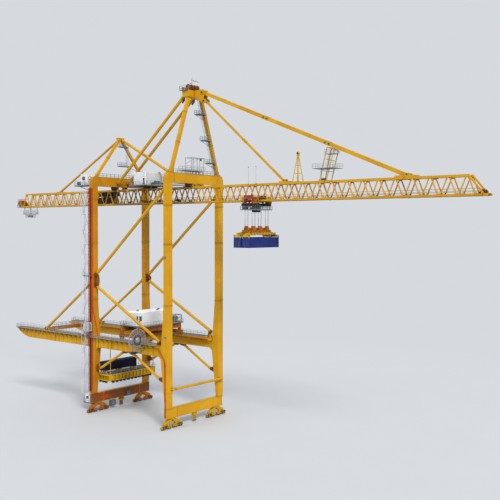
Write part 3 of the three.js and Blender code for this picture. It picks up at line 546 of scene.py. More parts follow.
k.link(k.b.outputs[0], ms.inputs[1])
k.link(em.outputs[0], ms.inputs[2])
k.link(ms.outputs[0], k.out.inputs["Surface"])
floor.materials.append(k.m)

world = bpy.data.worlds.new("studio")
bpy.context.scene.world = world
world.use_nodes = True
world.node_tree.nodes["Background"].inputs[0].default_value = BACK
world.node_tree.nodes["Background"].inputs[1].default_value = 1.0
bpy.context.scene.view_settings.view_transform = "Standard"


def sun(name, toward, strength, angle, color=(1, 1, 1)):
    d = bpy.data.lights.new(name, "SUN")
    d.energy, d.angle, d.color = strength, math.radians(angle), color
    o = bpy.data.objects.new(name, d)
    bpy.context.scene.collection.objects.link(o)
    o.rotation_mode = "QUATERNION"
    o.rotation_quaternion = Vector(toward).normalized().to_track_quat("Z", "Y")
    return o


sun("key", (0.80, -0.52, 0.75), 2.6, 16, (1.0, 0.97, 0.92))
sun("fill", (-0.25, -0.85, 0.5), 0.55, 40, (0.92, 0.96, 1.0))

# ================================================================ running gear
for rail, x in RAILS:
    for name, side in SIDES:
        c = side * 8.9
        y, d, w = Kit(), Kit(), Kit()
        # main equaliser: two arched side plates with a web between
        arch = [(-3.1, 1.30), (-3.05, 1.62), (-2.5, 2.05), (-1.1, 2.66), (1.1, 2.66), (2.5, 2.05), (3.05, 1.62), (3.1, 1.30),
                (2.1, 1.22), (1.25, 1.32), (0.65, 1.85), (-0.65, 1.85), (-1.25, 1.32), (-2.1, 1.22)]
        for o in (-0.34, 0.26):
            y.prism([(c + p, z) for p, z in arch], "yz", x + o, x + o + 0.08)
        y.prism([(c + p * 0.965, z * 0.99 + 0.01) for p, z in arch], "yz", x - 0.27, x + 0.27)
        y.box(x - 0.5, x + 0.5, c - 0.85, c + 0.85, 2.60, SILL_BOT - GAP)
        y.box(x - 0.44, x + 0.44, c - 0.55, c + 0.55, 2.2, 2.62)
        d.tube((x - 0.5, c, 2.2), (x + 0.5, c, 2.2), 0.2, 16)
        for s in (-1, 1):
            m = c + s * 2.1
            low = [(-1.5, 0.78), (-1.45, 1.02), (-0.55, 1.40), (0.55, 1.40), (1.45, 1.02), (1.5, 0.78), (0.5, 0.80), (0.22, 0.98), (-0.22, 0.98), (-0.5, 0.80)]
            for o in (-0.31, 0.24):
                y.prism([(m + p, z) for p, z in low], "yz", x + o, x + o + 0.07)
            y.prism([(m + p * 0.96, z) for p, z in low], "yz", x - 0.25, x + 0.25)
            d.tube((x - 0.42, m, 1.30), (x + 0.42, m, 1.30), 0.15, 14)
            for t in (-1, 1):
                b = m + t * 1.0
                frame_side = [(-0.80, 0.40), (-0.80, 0.70), (-0.62, 0.86), (0.62, 0.86), (0.80, 0.70), (0.80, 0.40), (0.62, 0.32), (-0.62, 0.32)]
                for o in (-0.38, 0.31):
                    y.prism([(b + p, z) for p, z in frame_side], "yz", x + o, x + o + 0.07)
                y.box(x - 0.32, x + 0.32, b - 0.09, b + 0.09, 0.5, 0.84)
                d.tube((x - 0.40, b, 0.88), (x + 0.40, b, 0.88), 0.12, 12)
                for q in (-0.42, 0.42):
                    w.lathe([(0.02, -0.11), (0.30, -0.11), (0.34, -0.15), (0.40, -0.15), (0.36, -0.09), (0.36, 0.09), (0.40, 0.15), (0.34, 0.15), (0.30, 0.11), (0.02, 0.11)],
                            (x, b + q, 0.40), (1, 0, 0), 28)
                    w.tube((x - 0.44, b + q, 0.40), (x + 0.44, b + q, 0.40), 0.11, 12)
                    d.lathe([(0.01, -0.04), (0.17, -0.04), (0.17, 0.04), (0.01, 0.04)], (x - 0.42, b + q, 0.40), (1, 0, 0), 14)
                    d.lathe([(0.01, -0.04), (0.17, -0.04), (0.17, 0.04), (0.01, 0.04)], (x + 0.42, b + q, 0.40), (1, 0, 0), 14)
                    d.box(x + 0.40, x + 0.62, b + q - 0.14, b + q + 0.14, 0.55, 0.84) if t == s else None
                    d.tube((x + 0.50, b + q, 0.84), (x + 0.50, b + q, 1.18), 0.12, 12) if t == s else None
        # buffers and rail sweep at the outer end
        e = c + side * 3.9
        y.box(x - 0.3, x + 0.3, e - 0.05, e - 0.05 + side * 0.0 + 0.1, 0.36, 0.95)
        d.tube((x, e, 0.7), (x, e - side * 0.28, 0.7), 0.14, 14)
        for b in range(-4, 5):
            d.lathe([(0.005, 0), (0.045, 0), (0.045, 0.05), (0.005, 0.05)], (x - 0.39, c + b * 0.62, 2.3 - abs(b) * 0.21), (-1, 0, 0), 6)
            d.lathe([(0.005, 0), (0.045, 0), (0.045, 0.05), (0.005, 0.05)], (x + 0.34, c + b * 0.62, 2.3 - abs(b) * 0.21), (1, 0, 0), 6)
        tag = f"{rail}_{name}"
        # landside bogie frames take the orange copy: painted shade
        y.make(f"bogie_frames_{tag}", YEL_S if rail == "waterside" else ORANGE_SHADE, slot="yellow_paint", replaces=[f"bogie_set_{tag}"], bevel=0.02)
        d.make(f"bogie_pins_and_motors_{tag}", DRK)
        w.make(f"bogie_wheels_{tag}", WHEEL)

# ===================================================== sill beams, legs, joints
det, bolts, hatch = Kit(), Kit(), Kit()


def bolt_row(a, b, n, out, r=0.045, h=0.05):
    a, b = Vector(a), Vector(b)
    for i in range(n):
        bolts.lathe([(0.004, 0), (r, 0), (r, h), (0.004, h)], a.lerp(b, (i + 0.5) / n), out, 6)


for rail, x in RAILS:
    inner = -1 if rail == "waterside" else 1
    outer_face = x - inner * 0.7
    for name, side in SIDES:
        y = side * LEG_Y
        y0, y1 = y - 1.0, y + 1.0
        # bolted splices round the plumb part of the leg
        for z in (33.2, 49.6, 62.2 if rail == "landside" else 60.0):
            det.box(x - 0.80, x + 0.80, y0 - 0.10, y1 + 0.10, z - 0.07, z + 0.07)
            det.box(x - 0.77, x + 0.77, y0 - 0.06, y1 + 0.06, z - 0.30, z - 0.26)
            bolt_row((x - 0.75, y0 - 0.05, z + 0.07), (x + 0.75, y0 - 0.05, z + 0.07), 7, (0, 0, 1))
            bolt_row((x - 0.75, y1 + 0.05, z + 0.07), (x + 0.75, y1 + 0.05, z + 0.07), 7, (0, 0, 1))
            bolt_row((x - 0.76, y0, z + 0.07), (x - 0.76, y1, z + 0.07), 9, (0, 0, 1))
            bolt_row((x + 0.76, y0, z + 0.07), (x + 0.76, y1, z + 0.07), 9, (0, 0, 1))
        # foot flange and lower splice of the haunched part
        wl = 0.95
        det.box(outer_face - inner * 0.08, outer_face + inner * (wl + 0.10), y0 - 0.10, y1 + 0.10, SILL_TOP + 0.01, SILL_TOP + 0.14)
        wm = 0.95 + (2.5 - 0.95) * (9.7 - 5.5) / 13.1
        det.box(outer_face - inner * 0.07, outer_face + inner * (wm + 0.07), y0 - 0.07, y1 + 0.07, 9.62, 9.74)
        bolt_row((outer_face - inner * 0.02, y0 - 0.04, SILL_TOP + 0.14), (outer_face + inner * wl, y0 - 0.04, SILL_TOP + 0.14), 6, (0, 0, 1))
        # access hatches on the outer side of the leg
        for z in (7.6, 24.6, 46.0):
            oy = y + side * 1.0
            hatch.lathe([(0.01, 0.0), (0.36, 0.0), (0.36, 0.05), (0.30, 0.08), (0.01, 0.08)], (x, oy, z), (0, side, 0), 20)
        # gusset plates of the portal girder joint
        for f in (y0 - 0.03, y1 - 0.02):
            hx = outer_face + inner * 2.45
            det.prism([(hx - inner * 0.1, 18.4), (hx + inner * 1.1, 19.35), (hx + inner * 1.1, 22.1), (hx - inner * 0.1, 22.1)], "xz", f + 0.16 if f < y else f - 0.16, f + 0.21 if f < y else f - 0.11)
    # sill beam ribs and flanges
    for k2 in range(-5, 6):
        yy = k2 * 1.72
        det.box(x - 0.54, x + 0.54, yy - 0.03, yy + 0.03, SILL_BOT + 0.02, SILL_BOT + 0.34)
        det.box(x - 0.53, x + 0.53, yy - 0.03, yy + 0.03, SILL_TOP - 0.34, SILL_TOP + 0.02)
    det.box(x - 0.58, x + 0.58, -11.28, 11.28, SILL_BOT - 0.0, SILL_BOT + 0.06)
    det.box(x - 0.58, x + 0.58, -9.2, 9.2, SILL_TOP - 0.04, SILL_TOP + 0.03)
    for s in (-1, 1):
        det.box(x - 0.56, x + 0.56, s * 7.2 - 0.05, s * 7.2 + 0.05, SILL_BOT - 0.03, SILL_TOP + 0.04)
        bolt_row((x + 0.55, s * 7.2 + 0.05, SILL_BOT + 0.2), (x + 0.55, s * 7.2 + 0.05, SILL_TOP - 0.1), 9, (0, 1, 0))
    # storm pin housing and rail clamp under the middle
    det.box(x - 0.42, x + 0.42, -0.75, 0.95, 1.8, 2.1)
    for q in (-0.25, 0.45):
        hatch.tube((x - 0.22, q, 1.2), (x + 0.22, q, 1.2), 0.16, 14)
        hatch.box(x - 0.2, x + 0.2, q - 0.24, q + 0.24, 0.35, 0.75)
    # top beam: lower and upper flanges, ribs
    det.prism([(-10.0, TOP_TOP), (10.0, TOP_TOP), (10.0, TOP_TOP + 0.05), (-10.0, TOP_TOP + 0.05)], "yz", x - 0.82, x + 0.82)
    for k2 in range(-4, 5):
        if abs(k2) > 0:
            det.box(x - 0.79, x + 0.79, k2 * 2.3 - 0.03, k2 * 2.3 + 0.03, TOP_BOT + 0.0, TOP_BOT + 0.26)
    for s in (-1, 1):
        det.box(x - 0.80, x + 0.80, s * 8.6 - 0.06, s * 8.6 + 0.06, TOP_BOT - 0.03, TOP_TOP + 0.06)
        bolt_row((x + 0.79, s * 8.6 + 0.06, TOP_BOT + 0.2), (x + 0.79, s * 8.6 + 0.06, TOP_TOP - 0.2), 9, (0, 1, 0))
        # hangers that carry the truss
        det.box(x - 0.5, x + 0.5, s * CY - 0.3, s * CY + 0.3, UP + CH / 2 + 0.01, UP + CH / 2 + 0.12)
        hatch.tube((x, s * CY - 0.36, 65.72), (x, s * CY + 0.36, 65.72), 0.16, 14)

# =================================================================== girders
walk, fence, brown = Kit(), Kit(), Kit()
for name, side in SIDES:
    y = side * LEG_Y
    out = y + side * 0.8
    # trolley rail
    hatch.box(-19.6, 27.9, side * 8.42 - 0.05, side * 8.42 + 0.05, 22.2, 22.255)
    # web stiffeners on both faces of the box girder
    xs = [v for v in [-34.0 + 2.05 * i for i in range(31)] if not (-2.6 < v < 2.6 or v > 26.6)]
    for v in xs:
        lo = GIRDER_BOT + 0.1 if v > -31 else GIRDER_BOT + 0.1 + (-31 - v) * 0.22
        det.box(v - 0.025, v + 0.025, out, out + side * 0.09, lo, GIRDER_TOP - 0.1)
    det.box(-33.0, LAND_X - 0.75, out, out + side * 0.10, GIRDER_TOP - 0.07, GIRDER_TOP)
    det.box(LAND_X + 1.9, GAUGE - 1.9, out, out + side * 0.10, GIRDER_TOP - 0.07, GIRDER_TOP)
    det.box(LAND_X + 1.95, GAUGE - 1.95, out, out + side * 0.10, GIRDER_BOT, GIRDER_BOT + 0.07)
    for v in (-17.5, 8.4, 20.6):
        for o in (-0.05, 0.07):
            det.box(v + o - 0.03, v + o + 0.03, out - side * 0.02, out + side * 0.14, GIRDER_BOT + 0.02, GIRDER_TOP + 0.05)
        bolt_row((v + 0.10, out + side * 0.07, GIRDER_BOT + 0.2), (v + 0.10, out + side * 0.07, GIRDER_TOP - 0.1), 10, (1, 0, 0))
    # walkway outside the girder, with brackets and handrails
    w0, w1 = LEG_Y + 1.04, LEG_Y + 1.95
    spans = [(-35.6, -5.4), (0.2, 27.6)] if side < 0 else [(-35.6, 27.6)]
    for a, b in spans:
        walk.box(a, b, side * w0, side * w1, 22.16, 22.22)
        n = int((b - a) / 2.05)
        for i in range(n + 1):
            v = a + 0.1 + i * (b - a - 0.2) / n
            if -2.4 < v < 2.4:
                continue
            det.prism([(side * (LEG_Y + 0.8), 22.10), (side * w1, 22.10), (side * w1, 22.0), (side * (LEG_Y + 0.8), 21.2)], "yz", v - 0.04, v + 0.04)
        fence.handrail([(a, side * (w1 - 0.04), 22.22), (b, side * (w1 - 0.04), 22.22)])
    # inner handrail on the girder top, open where the cross beam and braces stand
    for a, b in ((-35.4, -24.6), (-22.6, -21.6), (-19.8, -2.2), (2.4, 24.6)):
        fence.handrail([(a, side * 9.62, 22.24), (b, side * 9.62, 22.24)])
        walk.box(a, b, side * 9.62, side * 11.0, 22.2, 22.24) if b - a > 2 else None
    # end buffers at the stops, light and cable tray along the inner face
    for v, s2 in ((-19.97, 1), (28.17, -1)):
        hatch.tube((v, side * 8.42, 22.85), (v + s2 * 0.26, side * 8.42, 22.85), 0.16, 14)
    brown.box(-19.0, 27.0, side * 8.14, side * 8.02, 21.55, 21.85)
    for i in range(24):
        brown.box(-18.6 + i * 2.0, -18.45 + i * 2.0, side * 8.16, side * 7.98, 21.4, 21.95)
    # end platform at the landside nose
    walk.box(NOSE + 0.1, NOSE + 1.2, side * (LEG_Y - 0.8), side * w1, 22.2, 22.25)
    fence.handrail([(NOSE + 0.14, side * (LEG_Y - 0.75), 22.25), (NOSE + 0.14, side * (w1 - 0.05), 22.25)], step=0.9)
# handrails on the backreach cross beam
for xx in (-21.1, -20.3):
    fence.handrail([(xx, -9.3, 23.2), (xx, 9.3, 23.2)])
for i in range(9):
    det.box(-21.24, -20.16, -8.8 + i * 2.2 - 0.03, -8.8 + i * 2.2 + 0.03, 22.25, 23.2)

det.make("welded_flanges_and_ribs", YEL_S, slot="yellow_paint")
bolts.make("flange_bolts", DRK)
hatch.make("hatches_pins_and_rails", GRY_D)
brown.make("conductor_trays", JOINT_SHADE)

# ============================================================ round bracing
br, brj = Kit(), Kit()
LAND_IN, LAND_OUT = LAND_X + LEG_X / 2, LAND_X - LEG_X / 2
KB = {"near": (64.7, 40.0, 37.3, 22.6), "far": (63.1, 38.8, 37.9, 23.5)}
line = lambda x0, z0, x1, z1, x: z0 + (z1 - z0) * (x - x0) / (x1 - x0)


def strut(kit, joints, a, b, r, plate=0.9, t=0.09, ends=(1, 1), n=22):
    """Round strut with a slotted end plate, a collar and a ring weld at each end."""
    a, b = Vector(a), Vector(b)
    d = (b - a).normalized()
    a2 = a + d * (plate * 0.62 if ends[0] else 0)
    b2 = b - d * (plate * 0.62 if ends[1] else 0)
    kit.tube(a2, b2, r, n)
    for p, s, on in ((a, 1, ends[0]), (b, -1, ends[1])):
        if not on:
            continue
        side = d.cross(Vector((0, 1, 0))).normalized()
        c = p + d * (s * plate * 0.62)
        joints.obox(c, side * (r * 0.98), d * plate * 0.72, Vector((0, t, 0)))
        kit.tube(c + d * (s * 0.30), c + d * (s * 0.44), r * 1.10, n)
        joints.tube(p + d * (s * 0.25) - Vector((0, 0.26, 0)), p + d * (s * 0.25) + Vector((0, 0.26, 0)), 0.16, 14)
    L = (b2 - a2).length
    for f in (0.33, 0.67):
        c = a2.lerp(b2, f)
        kit.tube(c - d * 0.05, c + d * 0.05, r * 1.07, n)


for name, side in SIDES:
    y = side * LEG_Y
    za, zb, zc, zd = KB[name]
    a0, a1 = LAND_IN, GAUGE - LEG_X / 2
    kb, kj = Kit(), Kit()
    strut(kb, kj, (a0 + 0.55, y, line(a0, zb, a1, za, a0 + 0.55)), (a1 - 0.02, y, line(a0, zb, a1, za, a1 - 0.02)), 0.42)
    xe = 27.55
    strut(kb, kj, (a0 + 0.55, y, line(a0, zc, 28, zd, a0 + 0.55)), (xe, y, line(a0, zc, 28, zd, xe)), 0.42)
    # node plate on the landside leg: a rounded gusset with flange plates
    node = [(a0 + GAP, zc - 0.75), (a0 + 0.9, zc - 0.62), (a0 + 1.55, zc - 0.1), (a0 + 1.8, (zb + zc) / 2), (a0 + 1.55, zb + 0.1), (a0 + 0.9, zb + 0.62), (a0 + GAP, zb + 0.75)]
    kj.prism(node, "xz", y - 0.12, y + 0.12)
    kj.box(a0 + GAP, a0 + 0.10, y - 0.6, y + 0.6, zc - 0.8, zb + 0.8)
    for q in (zc + 0.1, zb - 0.1):
        kj.box(a0 + 0.1, a0 + 1.3, y - 0.42, y + 0.42, q - 0.04, q + 0.04)
    up_end = [(a1 - GAP, za - 1.4), (a1 - 1.1, za - 1.3), (a1 - 1.4, za - 0.5), (a1 - 0.8, za + 0.3), (a1 - GAP, za + 0.7)]
    kj.prism(up_end, "xz", y - 0.14, y + 0.14)
    kj.prism([(25.9, 22.25), (26.3, zd + 0.5 if zd + 0.5 > 23.2 else 23.3), (27.2, 23.4), (27.62, 22.25)], "xz", y - 0.12, y + 0.12)
    kb.make(f"k_brace_tubes_{name}", YEL, slot="yellow_paint", replaces=[f"k_brace_{name}"])
    kj.make(f"k_brace_joints_{name}", JOINT_SHADE)
    # backreach stay
    kb, kj = Kit(), Kit()
    top, bot = (LAND_OUT - 0.06, y, 38.05), (-23.35, y, 22.35)
    strut(kb, kj, top, bot, 0.38)
    kj.prism([(LAND_OUT - GAP, 37.0), (LAND_OUT - 0.9, 37.2), (LAND_OUT - 0.9, 38.0), (LAND_OUT - GAP, 39.0)], "xz", y - 0.1, y + 0.1)
    kj.prism([(-24.0, 22.21), (-23.8, 23.0), (-22.6, 23.3), (-22.0, 22.21)], "xz", y - 0.1, y + 0.1)
    kb.make(f"backreach_stay_tube_{name}", YEL, slot="yellow_paint", replaces=[f"backreach_stay_{name}"])
    kj.make(f"backreach_stay_joints_{name}", JOINT_SHADE)
    # knee braces below the girder
    kb, kj = Kit(), Kit()
    for pa, pb, xl in (((13.1, y, 19.15), (2.35, y, 13.0), 1), ((16.1, y, 19.15), (27.4, y, 12.85), -1)):
        strut(kb, kj, pa, pb, 0.36)
    kj.prism([(12.0, GIRDER_BOT - GAP), (12.4, 18.7), (13.6, 18.55), (14.6, 18.95), (15.6, 18.55), (16.8, 18.7), (17.2, GIRDER_BOT - GAP)], "xz", y - 0.1, y + 0.1)
    kj.box(12.0, 17.2, y - 0.45, y + 0.45, GIRDER_BOT - 0.10, GIRDER_BOT - GAP)
    lw = lambda z: 0.95 + (2.5 - 0.95) * (z - 5.5) / 13.1 - 0.7
    kj.prism([(LAND_X + lw(12.2) + 0.01, 12.2), (2.9, 12.8), (3.0, 13.6), (LAND_X + lw(14.2) + 0.01, 14.2)], "xz", y - 0.1, y + 0.1)
    kj.prism([(GAUGE - lw(12.0) - 0.01, 12.0), (26.9, 12.6), (26.8, 13.4), (GAUGE - lw(14.0) - 0.01, 14.0)], "xz", y - 0.1, y + 0.1)
    kb.make(f"knee_brace_tubes_{name}", YEL, slot="yellow_paint", replaces=[f"knee_brace_{name}"])
    kj.make(f"knee_brace_joints_{name}", JOINT_SHADE)
    # backstays
    kb, kj = Kit(), Kit()
    a = (GAUGE - 1.75, side * 1.95, line(GAUGE - 0.9, APEX + 0.7, LAND_X + 0.3, 66.3, GAUGE - 1.75))
    b = (LAND_X + 0.8, side * 1.95, line(GAUGE - 0.9, APEX + 0.7, LAND_X + 0.3, 66.3, LAND_X + 0.8))
    strut(kb, kj, a, b, 0.44, plate=1.0)
    kb.make(f"backstay_tube_{name}", YEL, slot="yellow_paint", replaces=[f"backstay_{name}"])
    kj.make(f"backstay_joints_{name}", ORANGE_SHADE)

kb, kj = Kit(), Kit()
strut(kb, kj, (LAND_X - 0.55, 0, PYLON), (-28.9, 0, UP + CH / 2 + 0.32), 0.33, plate=0.8)
for s in (-1, 1):
    kj.prism([(-29.5, UP + CH / 2 + GAP), (-29.3, UP + CH / 2 + 0.5), (-28.5, UP + CH / 2 + 0.6), (-28.1, UP + CH / 2 + GAP)], "xz", s * 0.2 - 0.05, s * 0.2 + 0.05)
kj.box(-29.4, -28.2, -1.45, 1.45, UP + CH / 2 + GAP, UP + CH / 2 + 0.2)
kb.make("pylon_back_tie_tube", YEL, slot="yellow_paint", replaces=["pylon_back_tie"])
kj.make("pylon_back_tie_joints", YEL_S)
kb, kj = Kit(), Kit()
strut(kb, kj, (LAND_X + 0.55, 0, PYLON), (28.3, 0, UP + CH / 2 + 0.36), 0.40, plate=0.9)
for s in (-1, 1):
    kj.prism([(27.2, UP + CH / 2 + GAP), (27.5, UP + CH / 2 + 0.62), (28.5, UP + CH / 2 + 0.6), (28.9, UP + CH / 2 + GAP)], "xz", s * 0.2 - 0.05, s * 0.2 + 0.05)
kj.box(27.3, 28.8, -1.45, 1.45, UP + CH / 2 + GAP, UP + CH / 2 + 0.2)
kb.make("pylon_forward_tie_tube", YEL, slot="yellow_paint", replaces=["pylon_forward_tie"])
kj.make("pylon_forward_tie_joints", YEL_S)
# tie pipe across the waterside legs
kb, kj = Kit(), Kit()
kb.tube((GAUGE + 1.25, -8.4, 10.7), (GAUGE + 1.25, 10.2, 10.7), 0.36, 24)
for yy in (-8.4, -4.0, 1.2, 6.0, 10.2):
    kb.tube((GAUGE + 1.25, yy - 0.09, 10.7), (GAUGE + 1.25, yy + 0.09, 10.7), 0.42, 24)
kj.prism([(GAUGE + LEG_X / 2 + GAP, 10.1), (GAUGE + 1.15, 10.35), (GAUGE + 1.15, 11.05), (GAUGE + LEG_X / 2 + GAP, 11.3)], "xz", -9.5, -9.2)
kj.box(GAUGE + LEG_X / 2 + GAP, GAUGE + 1.3, -9.9, -8.4, 10.5, 10.9)
kj.prism([(GAUGE + LEG_X / 2 + GAP, 10.1), (GAUGE + 1.15, 10.35), (GAUGE + 1.15, 11.05), (GAUGE + LEG_X / 2 + GAP, 11.3)], "xz", 9.5, 9.9)
kb.make("waterside_tie_tube", YEL, slot="yellow_paint", replaces=["waterside_tie_pipe"])
kj.make("waterside_tie_brackets", YEL_S)

# ==================================================== A-frame, pylon and apex
aux, org, lad, dk = Kit(), Kit(), Kit(), Kit()
F0 = GAUGE + 0.02
leg_near = lambda z: -9.5 + (-2.0 + 9.5) * (z - 68.0) / (APEX + 0.2 - 68.0)
leg_far = lambda z: 9.7 + (2.4 - 9.7) * (z - 68.0) / (APEX + 0.2 - 68.0)
# foot plates and bolted flanges
for f, s in ((leg_near, -1), (leg_far, 1)):
    aux.box(GAUGE - 0.72, GAUGE + 0.72, f(69) - 0.85, f(69) + 0.85, TOP_TOP + 0.06, TOP_TOP + 0.16)
    for o in (-0.5, 0.5):
        aux.prism([(f(68.7) - 0.8, 68.7), (f(68.7) + 0.8, 68.7), (f(70) + 0.36, 70.2), (f(70) - 0.36, 70.2)], "yz", F0 + o * 0.86 - 0.03, F0 + o * 0.86 + 0.03)
    for z in (77.0, 85.4):
        a = Vector((F0, f(z), z)); b = Vector((F0, f(z + 0.16), z + 0.16))
        aux.bar(a, b, 1.06, 1.12)
# ladder down the inner side of the far leg, with rest platforms
zs = [85.3, 78.3, 72.1]
tops = [89.4, 85.3, 78.3, 72.1, 68.9]
for za, zb in zip(tops[1:], tops[:-1]):
    lad.ladder((F0 - 0.1, leg_far(za) - 0.75, za), (F0 - 0.1, leg_far(zb) - 0.75, zb), out=(0, -1, 0.2))
for i, z in enumerate(zs):
    yf = leg_far(z)
    x0, x1, y0, y1 = GAUGE - 0.9, GAUGE + 1.0, yf - 3.1, yf - 0.5
    walk.box(x0, x1, y0, y1, z - 0.05, z)
    fence.handrail([(x1, y1, z), (x1, y0, z), (x0, y0, z), (x0, y1, z)], step=0.9)
    lad.bar((x0 + 0.2, y0 + 0.2, z - 0.1), (F0, yf - 0.3, z - 1.5), 0.1)
    lad.bar((x1 - 0.2, y0 + 0.2, z - 0.1), (F0, yf - 0.3, z - 1.5), 0.1)
    dk.box(x0 + 0.05, x1 - 0.05, y0 + 0.05, y1, z - 0.16, z - 0.06)
# apex: head flanges, stay pins, sheaves, platform with handrails, mast
T = APEX + 1.1
aux.box(GAUGE - 1.78, GAUGE + 0.80, -3.08, 3.28, APEX + 0.98, APEX + 1.096)
aux.box(GAUGE - 1.76, GAUGE + 0.78, -3.06, 3.26, APEX - 0.72, APEX - 0.62)
for y in (-2.2, -1.1, 0.1, 1.3, 2.4):
    aux.box(GAUGE - 1.74, GAUGE + 0.77, y - 0.04, y + 0.04, APEX - 0.66, APEX + 1.02)
for px, pz in ((GAUGE + 3.7, APEX + 0.3), (GAUGE + 4.3, APEX - 2.0)):
    dk.tube((px, -1.12, pz), (px, 1.12, pz), 0.26, 18)
    for s in (-1, 1):
        aux.tube((px, s * 0.84, pz), (px, s * 0.96, pz), 0.55, 20)
        aux.tube((px, s * 0.50, pz), (px, s * 0.60, pz), 0.50, 20)
for s in (-1, 1):
    dk.prism([(GAUGE - 1.72, APEX - 0.7), (GAUGE - 2.8, APEX - 1.9), (GAUGE - 2.6, APEX - 2.2), (GAUGE - 1.72, APEX - 1.4)], "xz", s * 1.95 - 0.12, s * 1.95 + 0.12)
ap = Kit()
ap.box(GAUGE - 2.35, GAUGE + 0.68, -3.55, 3.65, T + GAP, T + 0.06)
for y in (-3.5, -1.2, 1.2, 3.55):
    ap.box(GAUGE - 2.35, GAUGE + 0.66, y, y + 0.08, T + 0.005, T + 0.15)
ap.make("apex_platform_deck", GRATE, slot="galvanised", replaces=["apex_platform"])
fence.handrail([(GAUGE + 0.6, 3.6, T + 0.06), (GAUGE - 2.3, 3.6, T + 0.06), (GAUGE - 2.3, -3.5, T + 0.06), (GAUGE + 0.6, -3.5, T + 0.06), (GAUGE + 0.6, -2.8, T + 0.06)], step=1.0)
for y in (-1.9, -0.7, 0.5, 1.7):
    org.sheave((GAUGE - 0.55, y, T + 1.0), (0, 1, 0), 0.82, 0.26)
for y in (-2.3, -1.3, -0.1, 1.1, 2.1):
    org.prism([(GAUGE - 1.1, T + 0.06), (GAUGE - 0.8, T + 1.2), (GAUGE - 0.3, T + 1.2), (GAUGE + 0.0, T + 0.06)], "xz", y - 0.06, y + 0.06)
dk.tube((GAUGE - 0.55, -2.45, T + 1.0), (GAUGE - 0.55, 2.25, T + 1.0), 0.13, 14)
org.box(GAUGE - 2.1, GAUGE - 1.2, 1.6, 3.2, T + 0.06, T + 0.95)
org.tube((GAUGE - 1.6, -2.9, T + 0.5), (GAUGE - 1.6, -1.4, T + 0.5), 0.42, 20)
dk.tube((GAUGE - 0.6, -0.35, T + 0.1), (GAUGE - 0.6, -0.35, 95.15), 0.07, 8, 0.045)
dk.bar((GAUGE - 0.6, -0.6, 94.45), (GAUGE - 0.6, 2.2, 94.3), 0.07)
for y in (2.15, 1.2, 0.4):
    dk.tube((GAUGE - 0.6, y, 94.3), (GAUGE - 0.6, y, 94.62), 0.05, 6)
dk.tube((GAUGE - 0.6, -0.35, 93.4), (GAUGE - 0.6, -0.95, 93.4), 0.03, 6)
dk.lathe([(0.01, 0), (0.10, 0), (0.10, 0.22), (0.01, 0.30)], (GAUGE - 0.6, -0.95, 93.4), (0, 0, 1), 12)

# landside pylon: joint plates, platforms with ladder, pins
pl = lambda z, s: s * (9.8 - (9.8 - 0.35) * (z - 68.2) / (PYLON - 68.2))
for s in (-1, 1):
    aux.box(LAND_X - 0.72, LAND_X + 0.72, pl(69, s) - 0.8, pl(69, s) + 0.8, TOP_TOP + 0.06, TOP_TOP + 0.15)
    for z in (74.5,):
        a = Vector((LAND_X, pl(z, s), z)); b = Vector((LAND_X, pl(z + 0.12, s), z + 0.12))
        aux.bar(a, b, 0.9, 0.96)
for y in (-0.95, 0.95):
    aux.box(LAND_X - 0.6, LAND_X + 0.6, y - 0.04, y + 0.04, PYLON - 0.85, PYLON + 0.55)
dk.tube((LAND_X - 0.62, 0, PYLON), (LAND_X + 0.62, 0, PYLON), 0.2, 16)
for z, w in ((78.2, 2.6), (72.4, 3.3)):
    y0, y1 = -0.4, w
    walk.box(LAND_X - 0.8, LAND_X + 0.8, y0, y1, z - 0.05, z)
    fence.handrail([(LAND_X + 0.8, y1, z), (LAND_X + 0.8, y0, z), (LAND_X - 0.8, y0, z), (LAND_X - 0.8, y1, z)], step=0.9)
    dk.box(LAND_X - 0.75, LAND_X + 0.75, y0, y1, z - 0.15, z - 0.06)
lad.ladder((LAND_X + 0.55, 2.0, 72.4), (LAND_X + 0.55, 2.0, 78.2), out=(1, 0, 0))
lad.ladder((LAND_X + 0.55, 2.9, 68.8), (LAND_X + 0.55, 2.9, 72.4), out=(1, 0, 0))
lad.bar((LAND_X, 2.2, 72.3), (LAND_X, pl(71.2, 1), 71.2), 0.14)
lad.bar((LAND_X, 2.4, 78.1), (LAND_X, pl(77.4, 1), 77.4), 0.12)

# waterside top beam: service deck, hoist frame and handrails
fence.handrail([(GAUGE - 0.78, -9.0, TOP_TOP + 0.05), (GAUGE - 0.78, 9.0, TOP_TOP + 0.05)])
fence.handrail([(GAUGE + 0.78, -8.8, TOP_TOP + 0.05), (GAUGE + 0.78, 9.0, TOP_TOP + 0.05)])
fence.handrail([(LAND_X - 0.78, -9.0, TOP_TOP + 0.05), (LAND_X - 0.78, 9.0, TOP_TOP + 0.05)])
fence.handrail([(LAND_X + 0.78, -9.0, TOP_TOP + 0.05), (LAND_X + 0.78, 9.0, TOP_TOP + 0.05)])
D = 69.6
walk.box(GAUGE - 1.6, GAUGE + 1.6, -4.5, 2.7, D - 0.06, D)
for xx in (-1.55, 1.55):
    lad.bar((GAUGE + xx, -4.5, D - 0.12), (GAUGE + xx, 2.7, D - 0.12), 0.16)
for yy in (-4.2, -2.2, 0.0, 1.3, 2.5):
    lad.bar((GAUGE - 1.55, yy, D - 0.12), (GAUGE + 1.55, yy, D - 0.12), 0.14)
    for xx in (-0.7, 0.7):
        lad.bar((GAUGE + xx, yy, TOP_TOP), (GAUGE + xx, yy, D - 0.1), 0.14)
fence.handrail([(GAUGE + 1.58, -4.5, D), (GAUGE + 1.58, 2.7, D), (GAUGE - 1.58, 2.7, D), (GAUGE - 1.58, -4.5, D), (GAUGE + 1.58, -4.5, D)], step=1.35, r=0.026, kick=0)
